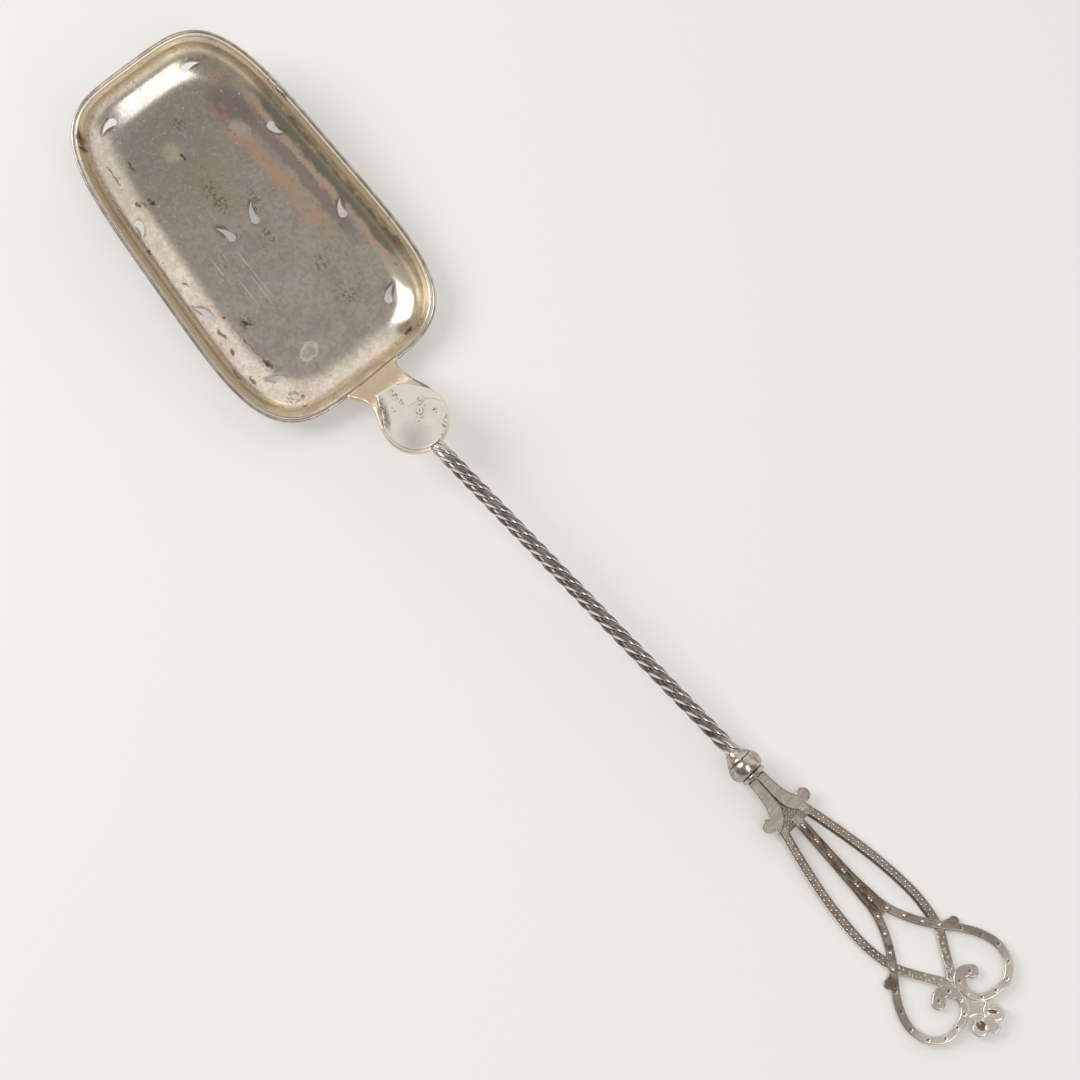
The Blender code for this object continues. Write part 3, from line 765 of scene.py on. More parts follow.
def build_stem(mat):
    """Four strands that wind about the stem's axis a quarter turn apart and run into the pad and the knop."""
    along, side, up = stem_axes()
    length = (STEM_END - STEM_START).length
    steps = math.ceil((length + WIRE_INTO_KNOP + WIRE_INTO_PAD) / WIRE_STEP)
    distance = np.linspace(-WIRE_INTO_PAD, length + WIRE_INTO_KNOP, steps + 1)
    shrink = np.clip(1.0 + distance / WIRE_INTO_PAD * (1.0 - WIRE_ROOT_SIZE), WIRE_ROOT_SIZE, 1.0)
    around = 2 * math.pi * np.arange(WIRE_SIDES) / WIRE_SIDES
    axis = np.array(STEM_START) + along * distance[:, None] + np.array((0.0, ROPE_ASIDE, 0.0))
    looser = (PITCH_AT_KNOP - PITCH_AT_PAD) / length
    turns = TWIST_START + np.log(1.0 + looser * distance / PITCH_AT_PAD) / looser
    from_end = np.minimum(distance, length - distance)
    soldered = SOLDER_SHARE * np.clip(1.0 - from_end / SOLDER_REACH, 0.0, 1.0)
    deep = WIRE_DEEP * np.sign(np.cos(around)) * np.abs(np.cos(around)) ** WIRE_PEAK
    wide = WIRE_WIDE * np.sin(around)
    faces = tube_faces(len(distance), WIRE_SIDES)
    middle = np.repeat(axis, WIRE_SIDES, axis=0)
    for wire in range(WIRE_COUNT):
        angle = 2 * math.pi * (wire / WIRE_COUNT - turns)
        radial = side * np.cos(angle)[:, None] + up * np.sin(angle)[:, None]
        tangent = up * np.cos(angle)[:, None] - side * np.sin(angle)[:, None]
        centre = axis + radial * (WIRE_ORBIT * shrink)[:, None]
        offset = radial[:, None] * deep[None, :, None] + tangent[:, None] * wide[None, :, None]
        points = (centre[:, None] + offset * shrink[:, None, None]).reshape(-1, 3)
        turned = np.arctan2((middle - points)[:, 1], (points - middle)[:, 2])
        # In a band round the stem towards -y the strands are painted pale more widely: painted highlights
        painted_highlight = np.clip(1.5 - np.abs(turned - PAINTED_HIGHLIGHT_ANGLE) / PAINTED_HIGHLIGHT_WIDTH, 0.0, 1.0)
        edge = WIRE_FLANK - PAINTED_HIGHLIGHT_GAIN * painted_highlight
        # One flank of each strand, the one that faces the left lamp, is painted pale: a painted highlight;
        # the solder near both ends is pale metal
        flank = np.tile(np.sin(around), len(distance))
        bright = np.clip((flank - edge) / WIRE_FLANK_SOFT, 0.0, 1.0)
        bright = np.maximum(bright, np.repeat(soldered, WIRE_SIDES))
        obj = new_object(f"rope_strand_{wire + 1}", points, faces, IN_DESIGN_FRAME)
        finish_piece(obj, mat, f"stem_wire_{wire + 1}", "wire_silver", bright=bright)


def bulge_profile(start, end, radius, rise):
    shares = np.arange(BULGE_STEPS + 1) / BULGE_STEPS
    shares = (1 - np.cos(math.pi * shares)) / 2
    rises = [rise * math.sin(math.pi * share) ** BULGE_POWER for share in shares]
    return [(start + (end - start) * share, radius + extra) for share, extra in zip(shares, rises)]


def build_turned(name, profile, mat, node):
    """A ring turned about the stem's axis."""
    along, side, up = stem_axes()
    section = [(profile[0][0], KNOP_BORE), *profile, (profile[-1][0], KNOP_BORE)]
    count = len(section)
    angles = 2 * math.pi * np.arange(TURNED_SIDES) / TURNED_SIDES
    around = side * np.cos(angles)[:, None] + up * np.sin(angles)[:, None]
    axial = np.array([s[0] for s in section])
    radius = np.array([s[1] for s in section])
    points = np.array(STEM_END) + along * axial[None, :, None] + around[:, None] * radius[None, :, None]
    faces = loft_faces(TURNED_SIDES, count, closed_rings=True)
    low = min(r for _, r in profile)
    depth = np.clip(1.0 - (radius - low) / max(radius.max() - low, 0.01) * TURNED_RECESS, 0.0, 1.0)
    obj = new_object(name, points.reshape(-1, 3), [face[::-1] for face in faces], IN_DESIGN_FRAME)
    finish_piece(obj, mat, node, "knop_silver", cavity=np.tile(depth, TURNED_SIDES))


def build_knop(mat):
    build_turned("knop_front_ring", RING_PROFILE, mat, "knop_ring")
    build_turned("knop_turned_bead", bulge_profile(*BEAD_BULGE), mat, "knop_bead")
    build_turned("knop_back_collar", bulge_profile(*COLLAR_BULGE), mat, "knop_collar")


def spine_offset(x):
    """The spine meets the leaf a little off the plate's middle line."""
    return SPINE_OFFSET * np.clip((SPINE_OFFSET_TO_X - x) / SPINE_OFFSET_RUN, 0.0, 1.0)


def plate_elements(x, y):
    """Signed distances of the plate's elements, the strap's own coordinates and the branch's arc length."""
    mirror = np.abs(y)
    strap, strap_s, strap_t = path_frame(x, mirror, STRAP_PATH)
    branch, branch_s, _ = path_frame(x, mirror, BRANCH_PATH)
    volute = path_frame(x, mirror, VOLUTE_PATH)[0] - VOLUTE_WIDTH / 2
    volute = np.minimum(volute, circle_distance(x, mirror, VOLUTE_LOBE))
    tab = path_frame(x, mirror, np.array(CROSS_TAB))[0] - CROSS_TAB_WIDTH / 2
    leaf = np.minimum(width_distance(x, mirror, LEAF_EDGE), circle_distance(x, mirror, LEAF_LOBE))
    tang = np.maximum(TANG_START_X - x, x - PLATE_START_X - TANG_LAP)
    tang = np.maximum(mirror - TANG_HALF_WIDTH, tang)
    distances = {
        "leaf": leaf,
        "tang": tang,
        "spine": width_distance(x, y - spine_offset(x), SPINE_EDGE),
        "strap": strap - STRAP_WIDTH / 2,
        "branch": branch - BRANCH_WIDTH / 2,
        "cross_lobe": np.minimum(tab, circle_distance(x, mirror, CROSS_LOBE)),
        "volute": volute,
        "finial": width_distance(x, mirror, FINIAL_EDGE),
        "finial_lobe": circle_distance(x, mirror, FINIAL_LOBE),
        "tip": width_distance(x, mirror, TIP_EDGE),
    }
    return distances, (strap_s, strap_t), branch_s


# Height of each element's face above the plate's middle, and the radius of its edge
PLATE_LEVELS = {
    "leaf": (0.70, 0.32),
    "tang": (0.60, 0.16),
    "spine": (0.64, 0.32),
    "strap": (0.58, 0.4),
    "branch": (0.70, 0.4),
    "cross_lobe": (0.68, 0.4),
    "volute": (0.70, 0.4),
    "finial": (0.56, 0.2),
    "finial_lobe": (0.76, 0.55),
    "tip": (0.76, 0.4),
}
STRAP_PATH = smooth_path(STRAP, 0.6)
BRANCH_PATH = smooth_path(BRANCH, 0.45)
VOLUTE_PATH = smooth_path(VOLUTE, 0.45)
VEIN_PATH = smooth_path(LEAF_VEIN, 0.3)
PANEL_PATH = smooth_path(PANEL_LINE, 0.2)


def plate_distance(x, y):
    distances, _, _ = plate_elements(x, y)
    return np.minimum.reduce(list(distances.values()))


def bead_rows(s, t, pitch, rows, radius):
    """Rows of domes, each next row half a pitch on."""
    height = np.zeros(s.shape)
    for number, row in enumerate(rows):
        along = (s + number * pitch / 2) % pitch - pitch / 2
        height = np.maximum(height, dome(np.hypot(along, t - row), radius))
    return height


def dots(x, y, places, radius):
    """Domes of height 1 at the places, on both sides of the middle line."""
    height = np.zeros(x.shape)
    for px, py in places:
        height = np.maximum(height, dome(np.hypot(x - px, np.abs(y) - py), radius))
    return height


def hollow_dome(x, y, middle, direction, half):
    """A dome of height 1 over an ellipse whose long axis has the direction."""
    rx = x - middle[0]
    ry = y - middle[1]
    along = (rx * direction[0] + ry * direction[1]) / half[0]
    across = (ry * direction[0] - rx * direction[1]) / half[1]
    return dome(np.hypot(along, across), 1.0)


def plate_top(x, y, inside):
    """Height of the chased upper face and its cavity value: above zero how deep a point lies in its recesses,
    below zero how pale it is painted, for polished bevels, rubbed edges and painted highlights on the domes,
    the pit rims and the edges.
    """
    distances, (_, strap_t), branch_s = plate_elements(x, y)
    mirror = np.abs(y)
    heights = {}
    cavities = {}
    for name, (level, edge) in PLATE_LEVELS.items():
        depth = np.maximum(-distances[name], 0.0)
        heights[name] = np.where(distances[name] < ELEMENT_LAP, level - rounded(depth, edge), -np.inf)
        cavities[name] = np.full(x.shape, PLAIN_CAVITY)

    from_edge = np.where(y > 0, STRAP_WIDTH / 2 + strap_t, STRAP_WIDTH / 2 - strap_t)
    slope = np.clip(1.0 - from_edge / STRAP_BEVEL, 0.0, 1.0)
    heights["strap"] -= STRAP_BEVEL_DEPTH * slope
    dark = (y > 0) & (x < CROSSING_X - 2.0)
    cavities["strap"] = 0.3 + np.clip(slope * 4, 0.0, 1.0) * np.where(dark, 0.5, -0.9)

    early = BRANCH_PATH[:CROSSING_POINTS]
    lengths = np.cumsum([0.0, *np.hypot(*np.diff(early, axis=0).T)])
    crossing = np.interp(CROSSING_X, early[:, 0], lengths)
    heights["branch"] += CROSSING_RISE * np.exp(-((branch_s - crossing) / CROSSING_REACH) ** 2)
    domes, moats = [dots(x, y, BRANCH_DOTS, radius) for radius in BRANCH_DOT_RADII]
    heights["branch"] += BRANCH_DOT_RISE * domes - MOAT_DEPTH * moats
    # The domes are painted pale, as painted highlights; the moats round them are darker
    cavities["branch"] += 0.8 * np.clip(moats - domes * 2, 0.0, 1.0) - 0.8 * domes

    places = [(px + side * SPINE_DOT_PAIR, 0.0) for px in SPINE_DOTS for side in (-1, 1)]
    domes, moats = [dots(x, y - spine_offset(x), places, radius) for radius in SPINE_DOT_RADII]
    dash = np.zeros(x.shape)
    for px, side, reach in SPINE_DASHES:
        dash = np.maximum(dash, dome(np.hypot((x - px) / reach, (y - side) / DASH_HALF_WIDTH), 1.0))
    for name in ("spine", "branch"):
        heights[name] += SPINE_DOT_RISE * domes - MOAT_DEPTH * moats - DASH_DEPTH * dash
        # The dot pairs are painted pale, as painted highlights of the two lamps; the moats and dashes are
        # darker
        cavities[name] += 0.85 * np.maximum(np.clip(moats - domes * 2, 0.0, 1.0), dash) - 0.9 * domes

    vein, _, _ = path_frame(x, mirror, VEIN_PATH)
    vein = np.clip(1.0 - vein / VEIN_HALF_WIDTH, 0.0, 1.0)
    wedge = x > np.interp(mirror, VEIN_PATH[:, 1], VEIN_PATH[:, 0]) + WEDGE_GAP
    wedge &= mirror < WEDGE_HALF_WIDTH
    rough = bead_rows(x + WEDGE_SLANT * y, y, WEDGE_PITCH, WEDGE_ROWS, WEDGE_BEAD_RADIUS)
    heights["leaf"] -= VEIN_DEPTH * vein + np.where(wedge, WEDGE_DEPTH - WEDGE_BEAD_RISE * rough, 0.0)
    from_border = np.abs(-distances["leaf"] - BORDER_INSET)
    border = np.clip(1.0 - from_border / BORDER_HALF_WIDTH, 0.0, 1.0) * ~wedge
    lines = np.maximum(0.8 * vein, 0.55 * border)
    cavities["leaf"] = np.maximum(lines, np.where(wedge, 0.65 - 0.4 * rough, 0.0))

    pits, rims = [dots(x, y, LOOP_DOTS, radius) for radius in LOOP_DOT_RADII]
    ridge = np.clip(rims * 2 - pits * 2, 0.0, 1.0)
    for name in ("branch", "volute", "cross_lobe"):
        heights[name] += LOOP_RIM_RISE * ridge - LOOP_DOT_DEPTH * pits
        # The pits are darker and the rims round them are painted paler, a painted highlight
        cavities[name] += 0.95 * pits - 0.2 * ridge
    line, _, _ = path_frame(x, mirror, PANEL_PATH)
    line = np.clip(1.0 - line / PANEL_HALF_WIDTH, 0.0, 1.0)
    heights["finial"] -= PANEL_DEPTH * line
    cavities["finial"] += 0.6 * line

    hollow = np.maximum(hollow_dome(x, y, *FINIAL_SLOT), hollow_dome(x, y, *FINIAL_PIT))
    heights["finial_lobe"] -= HOLLOW_DEPTH * hollow
    cavities["finial_lobe"] += 0.75 * np.clip(2.0 * hollow, 0.0, 1.0)
    heights["finial"] = np.where(hollow > 0, -np.inf, heights["finial"])
    heights["tip"] = np.where(hollow > 0.3, -np.inf, heights["tip"])

    stack = np.stack(list(heights.values()))
    best = stack.argmax(0)
    height = stack.max(0)
    cavity = np.take_along_axis(np.stack(list(cavities.values())), best[None], 0)[0]
    height = np.where(np.isfinite(height), height, PLATE_THICKNESS / 2 - PLATE_SHOULDER)
    # The outer edges are painted pale: partly wear, partly a painted highlight
    worn = np.clip(1.0 - inside / WORN_WIDTH, 0.0, 1.0) * (cavity < 0.6)
    return height, np.clip(cavity - 0.6 * worn, -1.0, 1.0)


def plate_bottom(inside):
    return -PLATE_THICKNESS / 2 + rounded(inside, PLATE_EDGE)


def build_plate(mat):
    points, faces, cavity = relief_solid(*PLATE_GRID, PLATE_STEP, plate_distance, plate_top, plate_bottom,
                                         plate_bend, PLATE_SIDE_CAVITY)
    obj = new_object("openwork_handle", points, faces, IN_DESIGN_FRAME)
    x, y, _ = points.T
    distances, (along, across), _ = plate_elements(x, y)
    shown = np.minimum.reduce([distances[name] for name in ("branch", "leaf", "cross_lobe", "volute")]) > 0
    across = np.where(shown & (distances["strap"] < 0.1), across, HIDDEN)
    layers = {"cavity": cavity, "strap_along": along, "strap_across": across}
    finish_piece(obj, mat, "handle_plate", "plate_silver", **layers)


class Graph:
    """Adds shader nodes to one tree and joins them."""

    def __init__(self, tree):
        self.tree = tree

    def put(self, socket, value):
        if isinstance(value, bpy.types.NodeSocket):
            self.tree.links.new(value, socket)
        else:
            socket.default_value = value

    def add(self, kind, inputs, **settings):
        node = self.tree.nodes.new(kind)
        for name, value in settings.items():
            setattr(node, name, value)
        for key, value in inputs.items():
            self.put(node.inputs[key], value)
        return node

    def math(self, operation, a, b=0.0, clamp=False):
        return self.add("ShaderNodeMath", {0: a, 1: b}, operation=operation, use_clamp=clamp).outputs[0]

    def times(self, a, b):
        return self.math("MULTIPLY", a, b)

    def plus(self, a, b):
        return self.math("ADD", a, b)

    def larger(self, a, b):
        return self.math("MAXIMUM", a, b)

    def mix(self, share, a, b):
        inputs = {"Factor": share, 6: a, 7: b}
        return self.add("ShaderNodeMix", inputs, data_type="RGBA").outputs[2]

    def tint(self, colour, share, strength, tint):
        return self.mix(self.times(share, strength), colour, tint)

    def step(self, value, low, high):
        inputs = {"Value": value, "From Min": low, "From Max": high}
        return self.add("ShaderNodeMapRange", inputs, interpolation_type="SMOOTHSTEP").outputs[0]

    def scale(self, vector, factors):
        return self.add("ShaderNodeVectorMath", {0: vector, 1: factors}, operation="MULTIPLY").outputs[0]

    def noise(self, vector, scale, detail, roughness):
        inputs = {"Vector": vector, "Scale": scale, "Detail": detail, "Roughness": roughness}
        return self.add("ShaderNodeTexNoise", inputs).outputs["Fac"]

    def millimetres(self):
        coords = self.add("ShaderNodeTexCoord", {}).outputs["Object"]
        return self.scale(coords, (1 / MM, 1 / MM, 1 / MM))

    def split(self, vector):
        return self.add("ShaderNodeSeparateXYZ", {0: vector}).outputs

    def warped(self, vector, scale, amount):
        """The vector moved about by noise, for ragged edges."""
        inputs = {"Vector": vector, "Scale": scale, "Detail": 3.0}
        colour = self.add("ShaderNodeTexNoise", inputs).outputs["Color"]
        inputs = {0: colour, 1: (0.5, 0.5, 0.5)}
        offset = self.add("ShaderNodeVectorMath", inputs, operation="SUBTRACT").outputs[0]
        offset = self.scale(offset, (amount, amount, amount))
        return self.add("ShaderNodeVectorMath", {0: vector, 1: offset}, operation="ADD").outputs[0]

    def patch(self, vector, centre, size, angle, soft):
        """1 inside an ellipse in plan, falling to 0 at its edge."""
        inputs = {"Vector": vector, "Location": (*centre, 0.0), "Rotation": (0.0, 0.0, angle),
                  "Scale": (*size, 1000.0)}
        local = self.add("ShaderNodeMapping", inputs, vector_type="TEXTURE").outputs[0]
        length = self.add("ShaderNodeVectorMath", {0: local}, operation="LENGTH").outputs["Value"]
        return self.step(length, 1.0, 1.0 - soft)

    def layer(self, name):
        return self.add("ShaderNodeAttribute", {}, attribute_name=name).outputs["Fac"]

    def bump(self, height, distance):
        return self.add("ShaderNodeBump", {"Height": height, "Distance": distance}).outputs[0]


class Metal(Graph):
    """The graph of a new metal material."""

    def __init__(self, name):
        self.mat = bpy.data.materials.new(name)
        self.mat.use_nodes = True
        super().__init__(self.mat.node_tree)
        self.inputs = self.tree.nodes["Principled BSDF"].inputs
        self.inputs["Metallic"].default_value = 1.0

    def coat(self, colour, rough, normal=None):
        """Joins the values to the shader and gives the material."""
        self.put(self.inputs["Base Color"], colour)
        self.put(self.inputs["Roughness"], rough)
        if normal is not None:
            self.put(self.inputs["Normal"], normal)
        return self.mat


# Colours of the metal and its tarnish, some of them also used for painted highlights, reflections and shade
SILVER = (0.80, 0.735, 0.665, 1.0)
DULL_SILVER = (0.59, 0.52, 0.465, 1.0)
DRAB = (0.56, 0.50, 0.40, 1.0)
PALE_SILVER = (0.86, 0.82, 0.755, 1.0)
GILDING = (0.72, 0.635, 0.485, 1.0)
DARK_GILDING = (0.53, 0.455, 0.335, 1.0)
PALE_GILDING = (0.95, 0.84, 0.65, 1.0)
BROWN = (0.17, 0.12, 0.085, 1.0)
DARK_BROWN = (0.13, 0.085, 0.06, 1.0)
BLACK = (0.055, 0.035, 0.022, 1.0)
COPPER = (0.95, 0.65, 0.47, 1.0)
ROSE = (0.80, 0.44, 0.38, 1.0)
SLATE = (0.50, 0.41, 0.375, 1.0)
OLIVE = (0.62, 0.56, 0.40, 1.0)
DARK_OLIVE = (0.33, 0.305, 0.25, 1.0)
BEIGE = (0.85, 0.74, 0.65, 1.0)
DUSK = (0.42, 0.35, 0.32, 1.0)
GREEN = (0.06, 0.20, 0.10, 1.0)
PURPLE_TINGE = (0.66, 0.56, 0.58, 1.0)
GREEN_TINGE = (0.64, 0.66, 0.55, 1.0)
SAND = (0.92, 0.84, 0.64, 1.0)
WARM_SILVER = (0.73, 0.64, 0.57, 1.0)
RIM_DARK = (0.42, 0.36, 0.32, 1.0)
RIM_LIGHT = (0.62, 0.56, 0.51, 1.0)
WIRE_DARK = (0.13, 0.112, 0.104, 1.0)
WIRE_LIGHT = (0.27, 0.235, 0.215, 1.0)
NECK_GILDING = (0.84, 0.73, 0.55, 1.0)
NECK_WORN = (0.84, 0.76, 0.63, 1.0)
PAD_SILVER = (0.79, 0.745, 0.67, 1.0)
PAD_GREY = (0.58, 0.54, 0.515, 1.0)
KNOP_DARK = (0.29, 0.25, 0.215, 1.0)
KNOP_LIGHT = (0.60, 0.54, 0.48, 1.0)
PLATE_DARK = (0.235, 0.2, 0.17, 1.0)
PLATE_LIGHT = (0.325, 0.285, 0.245, 1.0)
PLATE_BRIGHT = (0.74, 0.695, 0.63, 1.0)
LEAF_GREY = (0.265, 0.237, 0.197, 1.0)
HATCH_GREY = (0.40, 0.36, 0.30, 1.0)
LOOP_SHADE = (0.27, 0.23, 0.205, 1.0)
SPINE_BROWN = (0.135, 0.10, 0.075, 1.0)

# Tints in the bowl: middle (p, q), half size, turn, strength and colour
BOWL_TINTS = [
    ((-13.0, -0.5), (12.0, 8.0), 0.0, 0.35, OLIVE),
    ((-24.0, 13.4), (10.0, 4.6), 0.1, 0.75, DUSK),
    ((-32.0, 14.2), (2.6, 2.2), 0.4, 0.5, COPPER),
    ((-17.9, 11.6), (4.6, 3.2), 0.3, 0.8, COPPER),
    ((-18.9, 12.2), (3.8, 2.3), 0.2, 0.95, BEIGE),
    ((-25.6, 12.2), (1.6, 0.8), 0.3, 0.85, ROSE),
    ((-23.2, 11.2), (1.5, 1.0), -0.3, 0.85, ROSE),
    ((-24.6, 10.2), (1.9, 0.5), 0.1, 0.75, ROSE),
    ((-28.0, 9.4), (2.0, 0.5), 0.1, 0.5, ROSE),
    ((-20.4, 10.0), (1.4, 0.5), 0.2, 0.7, ROSE),
    ((-23.8, -3.4), (3.2, 2.9), 0.0, 0.75, SAND),
    ((-42.8, 0.0), (1.6, 20.0), 0.0, 0.55, SAND),
    ((39.5, 13.4), (2.0, 2.4), 0.0, 0.5, BROWN),
]

# Clusters of fine pits in the bowl: middle (p, q) and half size
SPECK_PATCHES = [
    ((24.9, 8.0), (4.2, 3.0)),
    ((-28.1, 1.9), (2.0, 1.8)),
    ((-4.7, 4.8), (3.2, 1.6)),
    ((4.7, 2.1), (3.4, 1.6)),
    ((16.9, -13.9), (2.6, 1.9)),
    ((-9.8, -1.7), (6.0, 2.4)),
    ((16.3, 7.8), (2.6, 2.6)),
    ((-38.2, -18.6), (3.6, 2.0)),
    ((27.6, -15.9), (2.8, 1.8)),
    ((-18.0, -14.6), (2.0, 2.6)),
    ((37.0, -16.0), (3.6, 3.0)),
    ((-20.6, 23.6), (5.0, 0.9)),
    ((40.6, 14.6), (1.6, 4.0)),
]

# Clusters of specks on the pad: middle (x, y), half size and turn
PAD_SPECKS = [
    ((-42.2, -0.5), (3.4, 0.9), 0.0),
    ((-36.4, 1.2), (3.8, 1.3), -0.93),
    ((-38.4, 3.0), (1.2, 1.0), 0.0),
    ((-34.4, 3.6), (0.9, 0.8), 0.0),
    ((-30.6, 3.0), (3.6, 0.9), -0.96),
    ((-40.6, -3.0), (0.9, 0.6), 0.0),
    ((-44.2, 2.0), (1.2, 0.9), 1.0),
]

# Stains in the bowl: middle (p, q), half size and turn
DARK_PITS = [
    ((-18.9, -16.7), (1.0, 0.6), 0.3),
    ((-17.4, -13.8), (0.7, 0.8), 0.0),
    ((-26.7, -12.7), (2.4, 0.3), -0.15),
    ((-27.1, -17.1), (3.6, 0.25), 0.02),
    ((-38.0, -18.2), (2.4, 0.9), -0.3),
    ((-35.4, -19.1), (1.2, 0.7), 0.4),
    ((-42.8, -14.6), (0.6, 0.8), 0.4),
    ((27.2, -15.8), (1.8, 0.9), 0.35),
    ((16.9, -14.1), (1.4, 0.6), 0.4),
    ((13.1, -17.5), (0.7, 0.3), 0.3),
    ((15.7, -20.0), (2.1, 0.4), 0.2),
    ((20.4, -20.6), (1.4, 0.45), -0.2),
    ((28.4, -21.0), (1.7, 0.4), 0.2),
    ((37.9, -14.1), (0.9, 0.45), 0.3),
    ((40.1, -15.2), (0.4, 0.9), 0.0),
    ((25.5, -23.0), (3.4, 0.3), 0.05),
    ((22.2, -16.4), (9.0, 0.12), 0.1),
    ((-8.5, -21.7), (0.8, 0.35), 0.0),
    ((2.1, -19.4), (1.4, 0.3), 0.1),
    ((-18.6, 23.7), (2.4, 0.35), 0.05),
    ((-36.2, 21.0), (0.9, 0.45), 0.5),
    ((41.0, 13.6), (0.6, 1.8), 0.2),
]

# Streaks along the bowl: middle q at p = 0, slope, half width, and p of both ends
# The olive band is painted shade, the dark room's reflection in the fillet
OLIVE_SHADE_BAND = (21.6, 0.05, 2.0, -24.0, 26.0)
SLATE_STREAK = (17.3, 0.05, 2.1, -26.0, 16.0)
COPPER_STREAK = (13.3, 0.05, 2.9, -14.0, 11.0)
# The copper line is partly copper tarnish and partly a painted reflection of the left lamp along the fillet
COPPER_LINE = (19.2, 0.055, 1.0, -26.0, 26.0)
STREAK_FADE = 4.0

# Extra roughness of the bowl's edges and walls
EDGE_ROUGHNESS = 0.05
WALL_ROUGHNESS = 0.09

# Single marks: middle, half size and turn
DRIED_DROP = ((30.7, -6.6), (2.1, 2.9), 0.3)
INSIDE_DROP = ((30.7, -6.6), (1.8, 2.5), 0.3)
GREEN_MARK = ((-21.6, -2.0), (1.5, 0.4), 0.1)
SCRATCHED = ((6.0, -8.0), (24.0, 8.0), 0.0)
NECK_DARK_EDGE = ((-41.9, 5.75), (4.6, 0.7), 0.27)
PAD_GREYED = ((-32.6, -4.2), (6.5, 5.0), -0.6)
PAD_WORN = ((-41.5, -5.3), (5.2, 1.8), -0.5)
SIDE_KNOB_STAIN = ((123.6, -9.4), (2.0, 2.0), 0.0)

# Depth of fine marks in a surface, in metres
FINE_MARKS = 0.00002
KNOP_MARKS = 0.00003
PLATE_MARKS = 0.0001


def bowl_streaks(g, colour, place, ragged, p, q):
    """Marks along one side of the bowl: an olive band of painted shade, slate and copper tarnish streaks, a
    copper line that is partly tarnish and partly a painted reflection, and tints.
    """
    wobble = g.times(g.math("SUBTRACT", g.noise(place, 0.3, 4.0, 0.6), 0.5), 3.4)

    def band(middle, slope, half, start, end):
        line = g.plus(g.times(p, slope), middle)
        away = g.math("ABSOLUTE", g.plus(g.math("SUBTRACT", q, line), wobble))
        mask = g.step(away, half, half * 0.4)
        mask = g.times(mask, g.step(p, start - STREAK_FADE, start + STREAK_FADE))
        return g.times(mask, g.step(p, end + STREAK_FADE, end - STREAK_FADE))

    patchy = g.step(g.noise(g.scale(place, (0.35, 1.0, 1.0)), 0.3, 4.0, 0.6), 0.32, 0.56)
    # Olive band: painted shade along the fillet
    colour = g.tint(colour, band(*OLIVE_SHADE_BAND), 0.9, DARK_OLIVE)
    colour = g.tint(colour, band(*SLATE_STREAK), 0.8, SLATE)
    copper = g.times(band(*COPPER_STREAK), patchy)
    colour = g.tint(colour, copper, 0.85, COPPER)
    # Copper line: partly tarnish, partly a painted reflection of the left lamp
    line = g.times(band(*COPPER_LINE), patchy)
    colour = g.tint(colour, line, 0.8, COPPER)
    for centre, size, turn, share, tint in BOWL_TINTS:
        colour = g.tint(colour, g.patch(ragged, centre, size, turn, 0.6), share, tint)
    return colour


